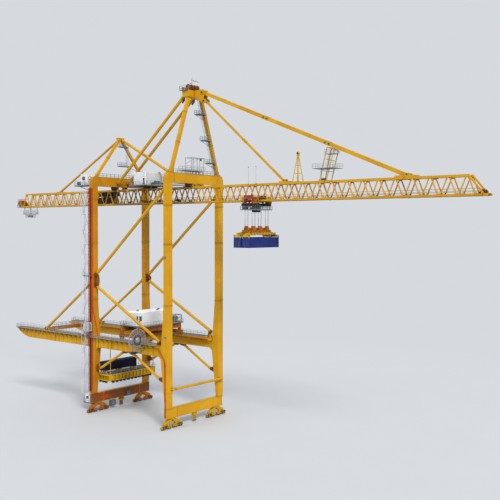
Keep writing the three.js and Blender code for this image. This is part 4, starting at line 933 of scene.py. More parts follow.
for yy in (-2.3, 0.9, 2.4):
    for xx in (-1.2, 1.2):
        lad.bar((GAUGE + xx, yy, D), (GAUGE + xx, yy, 73.2), 0.13)
    lad.bar((GAUGE - 1.2, yy, 73.1), (GAUGE + 1.2, yy, 73.1), 0.13)
for xx in (-1.2, 1.2):
    lad.bar((GAUGE + xx, -2.3, 73.1), (GAUGE + xx, 3.0, 73.1), 0.15)
    lad.bar((GAUGE + xx, -2.3, 71.4), (GAUGE + xx, 0.9, 73.0), 0.08)
lad.bar((GAUGE - 1.2, 3.0, 73.1), (GAUGE + 1.2, 3.0, 73.1), 0.12)
dk.box(GAUGE - 0.2, GAUGE + 0.2, 2.3, 2.8, 72.5, 73.02)
# dark sheave blocks hung under the top beams
for rail, x in RAILS:
    for yy in (-3.0, -2.1, 2.1):
        dk.box(x - 0.5, x + 0.5, yy - 0.28, yy + 0.28, 65.3, TOP_BOT - 0.01)
        dk.sheave((x, yy, 65.35), (0, 1, 0), 0.45, 0.2, 20)

# ------------------------------------------------------------------ forestays
for pts, half in ((((GAUGE + 3.7, APEX + 0.3), (96.6, 65.0)), 0.45), (((GAUGE + 4.3, APEX - 2.0), (61.9, 64.9)), 0.25)):
    a, b = Vector((pts[0][0], 0, pts[0][1])), Vector((pts[1][0], 0, pts[1][1]))
    d = (b - a).normalized()
    L = (b - a).length
    nrm = Vector((0, 1, 0)).cross(d).normalized()
    marks = (0.34, 0.64) if half > 0.4 else (0.5,)
    for f in marks:
        c = a + d * L * f
        for s in (-1, 1):
            aux.obox(c + Vector((0, s * (half + 0.06), 0)), d * 0.9, nrm * half * 1.1, Vector((0, 0.05, 0)))
        for q in (-0.55, 0.55):
            dk.tube(c + d * q - Vector((0, half + 0.2, 0)), c + d * q + Vector((0, half + 0.2, 0)), half * 0.42, 16)
        for s in (-1, 1):
            aux.obox(c + nrm * (s * (half + 0.02)), d * 0.7, nrm * 0.02, Vector((0, half * 1.05, 0)))
    for f in (0.12, 0.25, 0.45, 0.56, 0.75, 0.86):
        c = a + d * L * f
        aux.obox(c, d * 0.05, nrm * (half * 1.07), Vector((0, half * 1.07, 0)))
for xx, w in ((95.2, 2.2), (61.4, 0.9)):
    for s in (-1, 1):
        aux.prism([(xx - w / 2, UP + 0.64), (xx - w / 4, UP + 1.15), (xx + w / 4, UP + 1.15), (xx + w / 2, UP + 0.64)], "xz", s * 0.58 - 0.05, s * 0.58 + 0.05)
    dk.tube((xx, -0.72, UP + 0.88), (xx, 0.72, UP + 0.88), 0.15, 16)

# stay rest and support tower
sr = Kit()
C1 = UP + CH / 2 + GAP
for fx, fy in ((64.3, -1.05), (64.3, 1.05), (66.1, -1.05), (66.1, 1.05)):
    sr.tube((fx, fy, C1 + 0.1), (65.25 + (fx - 65.25) * 0.06, fy * 0.05, 72.0), 0.11, 12)
for f in (0.3, 0.6):
    q = [(65.25 + (fx - 65.25) * (1 - f), fy * (1 - f), C1 + 0.1 + (72.0 - C1) * f) for fx, fy in ((64.3, -1.05), (66.1, -1.05), (66.1, 1.05), (64.3, 1.05))]
    for a, b in zip(q, q[1:] + q[:1]):
        sr.bar(a, b, 0.09)
sr.box(65.0, 65.5, -0.22, 0.22, 71.7, 72.05)
sr.tube((65.25, -0.3, 72.4), (65.25, 0.3, 72.4), 0.3, 20)
sr.prism([(64.95, 71.9), (65.55, 71.9), (65.35, 72.75), (65.15, 72.75)], "xz", -0.3, -0.22)
sr.prism([(64.95, 71.9), (65.55, 71.9), (65.35, 72.75), (65.15, 72.75)], "xz", 0.22, 0.3)
sr.box(64.1, 66.3, -1.28, 1.28, C1, C1 + 0.12)
sr.make("stay_rest_frame", YEL_S, slot="yellow_paint", replaces=["boom_stay_rest"])
st = Kit()
for s in (-1, 1):
    A0, A1 = (72.4, s * 1.15, C1 + 0.05), (74.4, s * 1.0, 73.2)
    B0, B1 = (74.3, s * 1.15, C1 + 0.05), (76.3, s * 1.0, 72.4)
    st.tube(A0, A1, 0.12, 10); st.tube(B0, B1, 0.12, 10); st.tube(A1, B1, 0.10, 10)
    for f in (0.3, 0.65):
        pa, pb = Vector(A0).lerp(Vector(A1), f), Vector(B0).lerp(Vector(B1), f)
        st.bar(pa, pb, 0.08)
for f in (0.3, 0.65, 1.0):
    for P0, P1 in (((72.4, 1.15, C1), (74.4, 1.0, 73.2)), ((74.3, 1.15, C1), (76.3, 1.0, 72.4))):
        p = Vector(P0).lerp(Vector(P1), f)
        st.bar((p.x, -p.y, p.z), (p.x, p.y, p.z), 0.09)
st.box(72.1, 74.8, -1.33, 1.33, C1, C1 + 0.12)
st.make("stay_tower_frame", YEL_S, slot="galvanised", replaces=["stay_support_tower"])
walk.box(70.95, 76.85, -2.15, 2.15, 68.13, 68.2)
fence.handrail([(70.95, -2.15, 68.2), (76.85, -2.15, 68.2), (76.85, 2.15, 68.2), (70.95, 2.15, 68.2), (70.95, -2.15, 68.2)], step=1.5, r=0.022, kick=0)
walk.box(73.9, 76.6, -1.2, 1.2, 71.55, 71.6)
fence.handrail([(73.9, -1.2, 71.6), (76.6, -1.2, 71.6), (76.6, 1.2, 71.6), (73.9, 1.2, 71.6), (73.9, -1.2, 71.6)], step=1.4, r=0.022, kick=0)
lad.ladder((72.0, 0.2, C1), (72.0, 0.2, 68.2), out=(-1, 0, 0), cage=False)
lad.ladder((73.4, 0.2, 68.2), (74.2, 0.2, 71.6), out=(-1, 0, 0), cage=False)
dk.box(72.4, 73.4, -0.5, 0.5, C1 + 0.12, C1 + 0.6)
# floodlight poles on the truss
for px in (50.4, 52.9):
    lad.tube((px, -CY, C1), (px, -CY, 69.6), 0.045, 8, 0.03)
    dk.box(px - 0.10, px + 0.10, -CY - 0.08, -CY + 0.08, 69.5, 69.68)
    lad.box(px - 0.14, px + 0.14, -CY - 0.14, -CY + 0.14, C1, C1 + 0.08)

# ================================================================ boom truss
gus, rods, trs = Kit(), Kit(), Kit()
low = lambda i: PSTART + PANEL * i
for i in range(0, 39):
    for s in (-1, 1):
        y = s * CY
        yo = y + s * (CH / 2)
        x = low(i)
        if x <= 113.0:
            gus.prism([(x - 0.42, LOW - 0.10), (x + 0.42, LOW - 0.10), (x + 0.42, LOW + 0.25), (x + 0.2, LOW + 0.46), (x - 0.2, LOW + 0.46), (x - 0.42, LOW + 0.25)], "xz", yo - 0.02 * s, yo + 0.025 * s)
        h = x + PANEL / 2
        if h < 110.2:
            gus.prism([(h - 0.40, UP + 0.12), (h + 0.40, UP + 0.12), (h + 0.40, UP - 0.25), (h + 0.18, UP - 0.45), (h - 0.18, UP - 0.45), (h - 0.40, UP - 0.25)], "xz", yo - 0.02 * s, yo + 0.025 * s)
    # plan bracing between the chords
    if i < 38:
        x0, x1 = low(i), low(i + 1)
        sg = 1 if i % 2 else -1
        rods.bar((x0, -CY * sg, LOW), (x1, CY * sg, LOW), 0.10)
        if x1 + 2.1 < 110:
            rods.bar((x0 + 2.1, CY * sg, UP), (x1 + 2.1, -CY * sg, UP), 0.10)
# chord splices and the boom hinge
for x in [v for v in (-31.2, -10.2, 10.8, 53.2, 74.0, 95.0) ]:
    for s in (-1, 1):
        for z in (LOW, UP):
            for o in (-0.10, 0.04):
                gus.box(x + o, x + o + 0.06, s * CY - 0.34, s * CY + 0.34 if z == UP else s * CY + (0.22 if s < 0 else 0.34), z - 0.34 if z == UP else z - 0.30, z + 0.30 if z == UP else z + 0.34) if z == UP else gus.box(x + o, x + o + 0.06, s * (CY - 0.34), s * (CY + 0.16), z - 0.33, z + 0.34)
xh = low(19)
for s in (-1, 1):
    for o in (-0.34, 0.24):
        gus.prism([(xh - 1.0, UP - 0.35), (xh - 0.8, UP + 0.45), (xh - 0.3, UP + 0.95), (xh + 0.3, UP + 0.95), (xh + 0.8, UP + 0.45), (xh + 1.0, UP - 0.35)], "xz", s * CY + o, s * CY + o + 0.10)
    dk.tube((xh, s * CY - 0.45, UP + 0.55), (xh, s * CY + 0.45, UP + 0.55), 0.2, 16)
# walkway inside the truss on its lower chords, with rails, and rope rollers
walk.box(-47.6, 112.6, -0.55, 0.35, LOW + 0.26, LOW + 0.31)
for yy in (-0.55, 0.35):
    n = 76
    for z in (0.55, 1.1):
        rods.bar((-47.6, yy, LOW + 0.31 + z), (112.6, yy, LOW + 0.31 + z), 0.05)
    for i in range(n + 1):
        v = -47.6 + i * 160.2 / n
        rods.bar((v, yy, LOW + 0.28), (v, yy, LOW + 1.42), 0.05)
for i in range(0, 38):
    x = low(i)
    rods.box(x - 0.07, x + 0.07, -CY, CY, LOW + 0.12, LOW + 0.25)
    if i % 2 == 0:
        dk.tube((x + 0.6, 0.55, LOW + 0.55), (x + 0.6, 0.95, LOW + 0.55), 0.12, 10)
        dk.bar((x + 0.6, 0.75, LOW + 0.2), (x + 0.6, 0.75, LOW + 0.5), 0.1)
ropes = Kit()
for yy in (0.66, 0.78, 0.9):
    ropes.tube((-49.2, yy, LOW + 0.70), (112.9, yy, LOW + 0.70), 0.03, 6)
# cable tray on the upper chord, near side, and lamps along the boom
trs.box(-46.0, 109.0, -CY + 0.28, -CY + 0.44, UP - 0.22, UP - 0.02)
for i in range(12):
    v = -40.0 + i * 13.0
    dk.box(v - 0.16, v + 0.16, -CY - 0.42, -CY - 0.24, UP - 0.5, UP - 0.28)
gus.make("truss_gussets", YEL_S, slot="yellow_paint")
rods.make("truss_bracing_and_walkway_rails", YEL_S, slot="yellow_paint")
trs.make("truss_cable_tray", GRY_D)
ropes.make("trolley_tow_ropes", ROPE, slot="wire_rope")
# tip: buffers, sheaves and cross plates
for s in (-1, 1):
    dk.tube((112.9, s * (CY + 0.4), LOW + 0.45), (112.3, s * (CY + 0.4), LOW + 0.45), 0.16, 14)
    aux.box(112.8, 113.0, s * (CY + 0.1), s * (CY + 0.62), LOW - 0.1, LOW + 0.8)
for yy in (-0.75, -0.3, 0.3, 0.75):
    org.sheave((112.75, yy, LOW + 0.62), (0, 1, 0), 0.52, 0.2, 22)
dk.tube((112.75, -1.0, LOW + 0.62), (112.75, 1.0, LOW + 0.62), 0.1, 12)
walk.box(110.4, 113.9, -1.0, 1.0, LOW + 0.24, LOW + 0.29)
# machinery inside the truss by the landside leg
mach = Kit()
for x0, x1, y0, y1, z0, z1 in ((-9.8, -7.6, -0.85, 0.85, 61.3, 63.1), (-7.2, -5.9, -0.8, 0.8, 61.3, 64.4), (-3.2, -2.2, -0.7, 0.7, 61.3, 63.4)):
    mach.box(x0, x1, y0, y1, z0, z1)
    mach.box(x0 - 0.1, x1 + 0.1, y0 - 0.06, y1 + 0.06, z0 - 0.05, z0 + 0.12)
    for q in range(5):
        mach.box(x0 + (x1 - x0) * (q + 0.4) / 5, x0 + (x1 - x0) * (q + 0.6) / 5, y0 - 0.05, y1 + 0.05, z0 + 0.3, z1 - 0.2)
for x0, x1 in ((-9.9, -8.6), (-8.3, -7.3), (-5.6, -4.4), (-4.1, -3.4), (-2.6, -1.4)):
    mach.box(x0, x1, -0.7, 0.7, 63.4, 64.7)
    mach.box(x0 + 0.1, x1 - 0.1, -0.78, 0.78, 63.6, 64.5)
    mach.bar((x0 + 0.1, -0.6, 61.3), (x0 + 0.1, -0.6, 63.5), 0.1)
    mach.bar((x1 - 0.1, 0.6, 61.3), (x1 - 0.1, 0.6, 63.5), 0.1)
for c in (-5.1,):
    mach.lathe([(0.05, -0.8), (0.95, -0.8), (0.95, -0.70), (0.72, -0.66)] + [(0.72 - 0.03 * (q % 2), -0.62 + q * 0.062) for q in range(21)] + [(0.72, 0.66), (0.95, 0.70), (0.95, 0.8), (0.05, 0.8)], (c, 0, 62.4), (0, 1, 0), 26)
    mach.tube((c, -0.9, 62.4), (c, 0.9, 62.4), 0.16, 14)
    mach.box(c - 0.5, c + 0.5, -0.9, -0.8, 61.3, 62.5)
    mach.box(c - 0.5, c + 0.5, 0.8, 0.9, 61.3, 62.5)
for x0 in (10.2, 13.4, 17.0, 20.5, 24.0):
    mach.tube((x0, -0.7, 61.8), (x0, 0.7, 61.8), 0.2, 16)
    mach.box(x0 - 0.15, x0 + 0.15, -0.9, 0.9, 61.3, 61.6)
mach.make("winches_in_truss", DRK)
# black cable bundles on the upper chord between the leg frames
for yy in (0.5, 0.62, 0.74):
    dk.tube((-1.0, yy, UP + 0.02), (28.8, yy, UP + 0.02), 0.05, 6)

# ------------------------------------------------ landside end of the boom
lg = Kit()
lg.box(-47.45, -43.25, -1.65, 1.65, 58.42, 58.5)
for y in (-1.6, 1.6):
    lg.box(-47.45, -43.25, y - 0.05, y + 0.05, 58.4, 58.62)
for x in (-47.4, -45.4, -43.3):
    lg.box(x - 0.05, x + 0.05, -1.65, 1.65, 58.4, 58.55)
for x in (-47.3, -43.5):
    for y in (-1.2, 1.2):
        lg.bar((x, y, 58.45), (x, y, LOW - CH / 2 - GAP), 0.12)
    lg.bar((x, -1.2, 58.5), (x, 1.2, 60.5), 0.07)
for y in (-1.2, 1.2):
    lg.bar((-47.3, y, 60.5), (-43.5, y, 58.5), 0.07)
lg.box(-46.6, -44.6, -1.15, 1.15, 57.32, 57.4)
for x in (-46.5, -44.7):
    for y in (-1.1, 1.1):
        lg.bar((x, y, 57.35), (x, y, 58.45), 0.08)
lg.box(-46.2, -45.0, -0.6, 0.6, 57.4, 58.1)
lg.make("end_gallery_frame", GRY, slot="galvanised", replaces=["landside_end_gallery"])
fence.handrail([(-43.25, -1.6, 58.5), (-47.4, -1.6, 58.5), (-47.4, 1.6, 58.5), (-43.25, 1.6, 58.5)], step=1.0)
fence.handrail([(-44.6, -1.15, 57.4), (-46.6, -1.15, 57.4), (-46.6, 1.15, 57.4), (-44.6, 1.15, 57.4)], h=1.0, step=0.9)
lb = Kit()
for y in (-1.15, -0.02, 1.11):
    lb.prism([(-50.4, 60.85), (-51.0, 62.0), (-50.7, 63.1), (-49.7, 63.1), (-48.65, 61.9), (-48.65, 60.85)], "xz", y, y + 0.05)
lb.box(-50.3, -48.65, -1.4, 1.4, 60.72, 60.85)
for y in (-0.8, -0.3, 0.35, 0.85):
    lb.sheave((-50.3, y, 62.3), (0, 1, 0), 0.9, 0.24, 26)
    lb.sheave((-49.35, y, 61.6), (0, 1, 0), 0.62, 0.22, 24)
lb.box(-50.9, -49.8, 1.16, 1.5, 61.0, 62.2)
for y in (-1.35, 1.35):
    lb.bar((-50.8, y, 60.7), (-50.8, y, 63.5), 0.09)
    lb.bar((-50.8, y, 63.5), (-48.7, y, 63.5), 0.09)
    lb.bar((-48.7, y, 63.5), (-48.7, y, 61.2), 0.09)
for x in (-50.8, -48.7):
    lb.bar((x, -1.35, 63.5), (x, 1.35, 63.5), 0.09)
lb.make("end_sheave_block", ORANGE_SHADE, slot="orange_paint", replaces=["landside_sheave_block"])
dk.tube((-50.3, -1.3, 62.3), (-50.3, 1.3, 62.3), 0.12, 14)
dk.tube((-49.35, -1.3, 61.6), (-49.35, 1.3, 61.6), 0.10, 14)
walk.box(-50.9, -48.65, -1.45, 1.45, 60.64, 60.70)
fence.handrail([(-48.7, -1.45, 60.7), (-50.9, -1.45, 60.7), (-50.9, 1.45, 60.7), (-48.7, 1.45, 60.7)], step=1.0)

# ==================================================================== houses
def corrugated(kit, a, b, z0, z1, out, pitch=0.4, depth=0.05):
    """Wall of trapezoid sheet between two plan points."""
    a, b, o = Vector(a), Vector(b), Vector(out)
    L = (b - a).length
    n = max(2, int(L / pitch))
    d = (b - a) / n
    pts = []
    for i in range(n):
        for f, h in ((0.0, 0), (0.35, 0), (0.5, 1), (0.85, 1)):
            pts.append(a + d * (i + f) + o * (depth * h))
    pts.append(b)
    m = len(pts)
    vs = [(p.x, p.y, z0) for p in pts] + [(p.x, p.y, z1) for p in pts]
    back = [p - o * 0.10 for p in (a, b)]
    vs += [(back[0].x, back[0].y, z0), (back[1].x, back[1].y, z0), (back[0].x, back[0].y, z1), (back[1].x, back[1].y, z1)]
    fs = [(i, i + 1, m + i + 1, m + i) for i in range(m - 1)]
    k0 = 2 * m
    fs += [(k0 + 1, k0, k0 + 2, k0 + 3), (0, m, k0 + 2, k0), (m - 1, k0 + 1, k0 + 3, 2 * m - 1)]
    fs += [tuple(range(m - 1, -1, -1)) + (k0, k0 + 1), tuple(range(m, 2 * m)) + (k0 + 3, k0 + 2)]
    if (b - a).cross(Vector((0, 0, 1))).dot(o) < 0:
        fs = [f[::-1] for f in fs]
    kit.add(vs, fs)


def house(name, node, x0, x1, y0, y1, z0, z1, body="crane", doors=(), windows=(), roof=0.12, vents=(), pitch=0.42, mat=None, slot="white_paint"):
    """Sheet-clad house with corner posts, roof, skirting, doors and windows."""
    h, g, fr = Kit(), Kit(), Kit()
    e = 0.06
    h.box(x0 + e, x1 - e, y0 + e, y1 - e, z0 + 0.02, z1 - 0.05)
    for a, b, o in (((x0 + e, y0 + e, 0), (x1 - e, y0 + e, 0), (0, -1, 0)), ((x1 - e, y0 + e, 0), (x1 - e, y1 - e, 0), (1, 0, 0)),
                    ((x1 - e, y1 - e, 0), (x0 + e, y1 - e, 0), (0, 1, 0)), ((x0 + e, y1 - e, 0), (x0 + e, y0 + e, 0), (-1, 0, 0))):
        corrugated(h, a, b, z0 + 0.12, z1 - 0.14, o, pitch, 0.05)
    for x in (x0 + 0.05, x1 - 0.05):
        for y in (y0 + 0.05, y1 - 0.05):
            h.box(x - 0.05, x + 0.05, y - 0.05, y + 0.05, z0, z1 - 0.02)
    h.box(x0, x1, y0, y1, z0, z0 + 0.12)
    h.prism([(y0 - 0.0, z1 - 0.14), (y1 + 0.0, z1 - 0.14), (y1, z1 - 0.02), ((y0 + y1) / 2, z1), (y0, z1 - 0.02)], "yz", x0, x1)
    n = int((x1 - x0) / 1.2)
    for i in range(1, n):
        xx = x0 + (x1 - x0) * i / n
        h.box(xx - 0.02, xx + 0.02, y0 + 0.02, y1 - 0.02, z1 - 0.03, z1 + 0.03)
    for face, u, w, hh in doors:
        zz = z0 + 0.14
        if face in ("-y", "+y"):
            yy = y0 if face == "-y" else y1
            s = -1 if face == "-y" else 1
            fr.box(u - w / 2 - 0.06, u + w / 2 + 0.06, yy - 0.02 * s, yy + 0.03 * s, zz, zz + hh + 0.06)
            h.box(u - w / 2, u + w / 2, yy, yy + 0.05 * s, zz, zz + hh)
            fr.box(u + w * 0.32, u + w * 0.38, yy, yy + 0.12 * s, zz + hh * 0.45, zz + hh * 0.55)
            g.box(u - w * 0.2, u + w * 0.2, yy, yy + 0.06 * s, zz + hh * 0.62, zz + hh * 0.88)
        else:
            xx = x0 if face == "-x" else x1
            s = -1 if face == "-x" else 1
            fr.box(xx - 0.02 * s, xx + 0.03 * s, u - w / 2 - 0.06, u + w / 2 + 0.06, zz, zz + hh + 0.06)
            h.box(xx, xx + 0.05 * s, u - w / 2, u + w / 2, zz, zz + hh)
            fr.box(xx, xx + 0.12 * s, u + w * 0.32, u + w * 0.38, zz + hh * 0.45, zz + hh * 0.55)
            g.box(xx, xx + 0.06 * s, u - w * 0.2, u + w * 0.2, zz + hh * 0.62, zz + hh * 0.88)
    for face, u, w, zc, hh in windows:
        if face in ("-y", "+y"):
            yy = y0 if face == "-y" else y1
            s = -1 if face == "-y" else 1
            fr.box(u - w / 2 - 0.07, u + w / 2 + 0.07, yy - 0.02 * s, yy + 0.03 * s, zc - hh / 2 - 0.07, zc + hh / 2 + 0.07)
            g.box(u - w / 2, u + w / 2, yy, yy + 0.045 * s, zc - hh / 2, zc + hh / 2)
        else:
            xx = x0 if face == "-x" else x1
            s = -1 if face == "-x" else 1
            fr.box(xx - 0.02 * s, xx + 0.03 * s, u - w / 2 - 0.07, u + w / 2 + 0.07, zc - hh / 2 - 0.07, zc + hh / 2 + 0.07)
            g.box(xx, xx + 0.045 * s, u - w / 2, u + w / 2, zc - hh / 2, zc + hh / 2)
    for vx, vy, vr in vents:
        fr.tube((vx, vy, z1 - 0.02), (vx, vy, z1 + 0.22), vr, 16)
        fr.lathe([(0.02, 0), (vr * 1.5, 0), (vr * 1.2, 0.12), (0.02, 0.18)], (vx, vy, z1 + 0.22), (0, 0, 1), 18)
    h.make(name, mat or WHT, body, slot=slot, replaces=[node] if node else [])
    fr.make(name + "_trim", GRY_D, body)
    if g.v:
        g.make(name + "_glass", GLS, body)


house("switchgear_house", "machinery_house", 10.4, 15.2, -4.3, 4.4, 66.1, 69.8, doors=(("-y", 14.5, 0.9, 2.1), ("+x", 2.8, 1.0, 2.1)),
      vents=((11.6, -2.4, 0.28), (13.8, 2.6, 0.28)))
dk.box(14.28, 14.92, -4.37, -4.34, 66.24, 68.1)
for i in range(6):
    dk.box(14.32, 14.88, -4.40, -4.36, 66.4 + i * 0.26, 66.52 + i * 0.26)
md = Kit()
md.box(8.85, 16.55, -4.95, 4.95, 66.02, 66.09)
for x in (8.9, 10.9, 12.7, 14.6, 16.5):
    md.box(x - 0.06, x + 0.06, -4.95, 4.95, 65.86, 66.03)
for y in (-4.9, -1.5, 1.5, 4.9):
    md.box(8.85, 16.55, y - 0.05, y + 0.05, 65.88, 66.03)
for x in (11.2, 14.3):
    for y in (-1.2, 1.2):
        md.box(x - 0.18, x + 0.18, y - 0.18, y + 0.18, C1, 65.9)
md.make("switchgear_deck", GRATE, slot="galvanised", replaces=["machinery_house_deck"])
fence.handrail([(8.9, -4.9, 66.09), (16.5, -4.9, 66.09), (16.5, 4.9, 66.09), (8.9, 4.9, 66.09), (8.9, -4.9, 66.09)])
# dark equipment boxes beside the house and under its deck
dk.box(9.1, 10.1, -3.8, -2.4, 66.1, 67.5)
dk.box(15.5, 16.2, -2.2, 2.2, 66.1, 66.9)
dk.box(15.6, 16.1, -1.2, 0.6, 66.9, 67.4)
dk.box(14.4, 15.0, -4.75, -4.35, 66.12, 66.5)
dk.box(11.6, 13.9, -1.5, 1.5, C1, 65.85)
# narrow walkway that joins the two leg frames beside the truss
walk.box(0.8, 8.8, 1.9, 2.8, 65.98, 66.04)
walk.box(16.6, 29.0, 1.9, 2.8, 65.98, 66.04)
walk.box(16.6, 29.0, -2.9, -2.0, 65.98, 66.04)
for a, b in ((0.8, 8.8), (16.6, 29.0)):
    fence.handrail([(a, 2.8, 66.04), (b, 2.8, 66.04)])
    lad.bar((a, 2.7, 65.92), (b, 2.7, 65.92), 0.10)
fence.handrail([(16.6, -2.9, 66.04), (29.0, -2.9, 66.04)])
lad.bar((16.6, -2.8, 65.92), (29.0, -2.8, 65.92), 0.10)

house("landside_cabin_shell", "landside_cabin", -5.2, -2.5, -10.9, -9.0, 66.35, 69.6, doors=(("+x", -9.9, 0.8, 2.0),), windows=(("-y", -3.9, 1.2, 68.3, 0.8), ("-x", -9.9, 0.9, 68.3, 0.8)))
cd = Kit()
cd.box(-7.75, LAND_X - 0.78, -11.15, -8.65, 66.26, 66.33)
for y in (-11.1, -9.9, -8.7):
    cd.box(-7.75, LAND_X - 0.78, y - 0.06, y + 0.06, 66.02, 66.27)
for x in (-7.7, -5.6, -3.4, -1.2):
    cd.box(x - 0.06, x + 0.06, -11.15, -8.65, 66.04, 66.27)
cd.bar((-6.9, -10.0, 66.1), (LAND_X - 0.8, -10.0, 64.4), 0.16)
cd.make("landside_cabin_deck", GRY_D, slot="galvanised")
fence.handrail([(-1.0, -11.1, 66.33), (-7.7, -11.1, 66.33), (-7.7, -8.7, 66.33), (-1.0, -8.7, 66.33)], step=1.1)
dk.box(-7.2, -6.0, -10.7, -9.2, 66.33, 67.3)
house("base_cabin_shell", "base_cabin", -3.7, -1.9, -10.7, -9.2, 2.6, 4.9, doors=(("+x", -9.95, 0.7, 1.9),), windows=(("-y", -2.8, 0.9, 4.0, 0.7), ("-x", -9.95, 0.8, 4.0, 0.7)), pitch=0.3)
cd = Kit()
cd.box(-4.35, LAND_X - 0.55, -10.9, -9.0, 2.5, 2.58)
for y in (-10.85, -9.05):
    cd.box(-4.35, LAND_X - 0.55, y - 0.05, y + 0.05, 2.32, 2.52)
for x in (-4.3, -2.5, -0.8):
    cd.box(x - 0.05, x + 0.05, -10.9, -9.0, 2.32, 2.52)
cd.make("base_cabin_deck", GRY_D, slot="galvanised")
fence.handrail([(-1.2, -10.85, 2.58), (-4.3, -10.85, 2.58), (-4.3, -9.05, 2.58)], step=0.9)
house("portal_level_cabin_shell", "portal_level_cabin", -4.4, -2.2, -10.8, -9.1, 22.55, 25.8, doors=(("+x", -9.95, 0.8, 2.0),), windows=(("-y", -3.3, 1.1, 24.4, 0.8), ("-x", -9.95, 0.9, 24.4, 0.8)), pitch=0.3)
walk.box(-5.15, -1.05, -11.0, -9.05, 22.26, 22.50)
fence.handrail([(-2.0, -10.95, 22.5), (-5.1, -10.95, 22.5), (-5.1, -9.1, 22.5)], step=0.9)

# =============================================================== access ways
lift = Kit()
x0, x1, y0, y1 = -0.85, -0.25, -LEG_Y - 1.55, -LEG_Y - 1.0 - GAP
for x in (x0 + 0.05, x1 - 0.05):
    for y in (y0 + 0.05, y1 - 0.05):
        lift.box(x - 0.05, x + 0.05, y - 0.05, y + 0.05, 6.2, 65.4)
n = 66
for i in range(n):
    z0, z1 = 6.3 + i * 0.895, 6.3 + (i + 1) * 0.895
    lift.bar((x0 + 0.05, y0 + 0.05, z0), (x1 - 0.05, y0 + 0.05, z1), 0.05)
    lift.bar((x1 - 0.05, y0 + 0.05, z0), (x1 - 0.05, y1 - 0.05, z1), 0.05)
    lift.bar((x1 - 0.05, y1 - 0.05, z0), (x0 + 0.05, y1 - 0.05, z1), 0.05)
    lift.bar((x0 + 0.05, y1 - 0.05, z0), (x0 + 0.05, y0 + 0.05, z1), 0.05)
    lift.box(x0, x1, y0, y0 + 0.05, z0 - 0.03, z0 + 0.03)
    lift.box(x1 - 0.05, x1, y0, y1, z0 - 0.03, z0 + 0.03)
    lift.box(x0, x0 + 0.05, y0, y1, z0 - 0.03, z0 + 0.03)
lift.box(x0 + 0.16, x1 - 0.16, y1 - 0.24, y1 - 0.04, 6.2, 65.2)
lift.make("lift_mast_lattice", RED, slot="red_paint", replaces=["lift_mast"])
car = Kit()
cx0, cx1, cy0, cy1, cz = -0.75, 0.65, -LEG_Y - 3.1, -LEG_Y - 1.6, 24.0
car.box(cx0, cx1, cy0, cy1, cz, cz + 0.08)
car.box(cx0, cx1, cy0, cy1, cz + 2.3, cz + 2.42)
for x in (cx0 + 0.05, cx1 - 0.05):
    for y in (cy0 + 0.05, cy1 - 0.05):
        car.box(x - 0.05, x + 0.05, y - 0.05, y + 0.05, cz, cz + 2.4)
for i in range(9):
    car.box(cx0, cx1, cy0 + 0.02, cy0 + 0.05, cz + 0.12 + i * 0.25, cz + 0.2 + i * 0.25)
    car.box(cx0 + 0.02, cx0 + 0.05, cy0, cy1, cz + 0.12 + i * 0.25, cz + 0.2 + i * 0.25)
    car.box(cx1 - 0.05, cx1 - 0.02, cy0, cy1, cz + 0.12 + i * 0.25, cz + 0.2 + i * 0.25)
car.make("lift_car", LGT)
# stair tower
stt, tread = Kit(), Kit()
x0, x1, ya, yb, z0, fl, n = -3.1, -1.1, -12.6, -11.45, 5.6, 2.9, 20
for x in (x0, x1):
    for y in (ya, yb):
        stt.box(x - 0.035, x + 0.035, y - 0.035, y + 0.035, z0, z0 + fl * n + 1.2)
for k2 in range(n + 1):
    left = k2 % 2 == 0
    z = z0 + fl * k2
    a, b = (x0, x0 + 0.6) if left else (x1 - 0.6, x1)
    tread.box(a, b, ya, yb, z, z + 0.05)
    for y in (ya, yb):
        stt.bar((x0, y, z - 0.05), (x1, y, z - 0.05), 0.05)
    stt.bar((x0, ya, z - 0.05), (x0, yb, z - 0.05), 0.07)
    stt.bar((x1, ya, z - 0.05), (x1, yb, z - 0.05), 0.07)
    xe = x0 if left else x1
    stt.handrail([(xe, ya, z + 0.03), (xe, yb, z + 0.03)], step=0.6, r=0.02, kick=0)
    if k2 < n:
        y = ya + 0.3 if left else yb - 0.3
        xa, xb = (x0 + 0.5, x1 - 0.5) if left else (x1 - 0.5, x0 + 0.5)
        for s in (-1, 1):
            stt.bar((xa, y + s * 0.25, z), (xb, y + s * 0.25, z + fl), 0.03, 0.10)
            stt.bar((xa, y + s * 0.27, z + 1.0), (xb, y + s * 0.27, z + fl + 1.0), 0.045)
            for f in (0.0, 0.33, 0.66, 1.0):
                px, pz = xa + (xb - xa) * f, z + fl * f
                stt.bar((px, y + s * 0.27, pz), (px, y + s * 0.27, pz + 1.0), 0.04)
        for i in range(12):
            f = (i + 0.5) / 12
            px = xa + (xb - xa) * f
            tread.box(px - 0.08, px + 0.08, y - 0.23, y + 0.23, z + fl * f - 0.015, z + fl * f + 0.015)
        stt.bar((x0, yb, z), (x1, yb, z + fl), 0.03)
for z in (8.5, 14, 20, 26, 32, 38, 44, 50, 56, 62):
    stt.box(x1 - 0.05, -0.85 - GAP, yb - 0.02, yb + 0.08, z, z + 0.12)
    stt.box(-0.95, -0.86, yb, -LEG_Y - 1.0 - GAP, z, z + 0.12)
stt.make("stair_tower_frame", LGT, slot="galvanised", replaces=["stair_tower"])
tread.make("stair_treads", LGT)
# landings from the stair tower to the walkways
walk.box(-5.0, -1.2, -LEG_Y - 2.0, -LEG_Y - 1.02, 22.16, 22.22)
walk.box(-2.6, -1.0, -11.4, -11.2, 66.2, 66.26)
for z in (39.9,):
    walk.box(-2.9, 0.6, -LEG_Y - 1.9, -LEG_Y - 1.05, z, z + 0.05)
    fence.handrail([(-2.9, -LEG_Y - 1.9, z + 0.05), (-0.9, -LEG_Y - 1.9, z + 0.05)], step=0.9)
    dk.box(-2.9, 0.5, -LEG_Y - 1.88, -LEG_Y - 1.06, z - 0.12, z - 0.02)

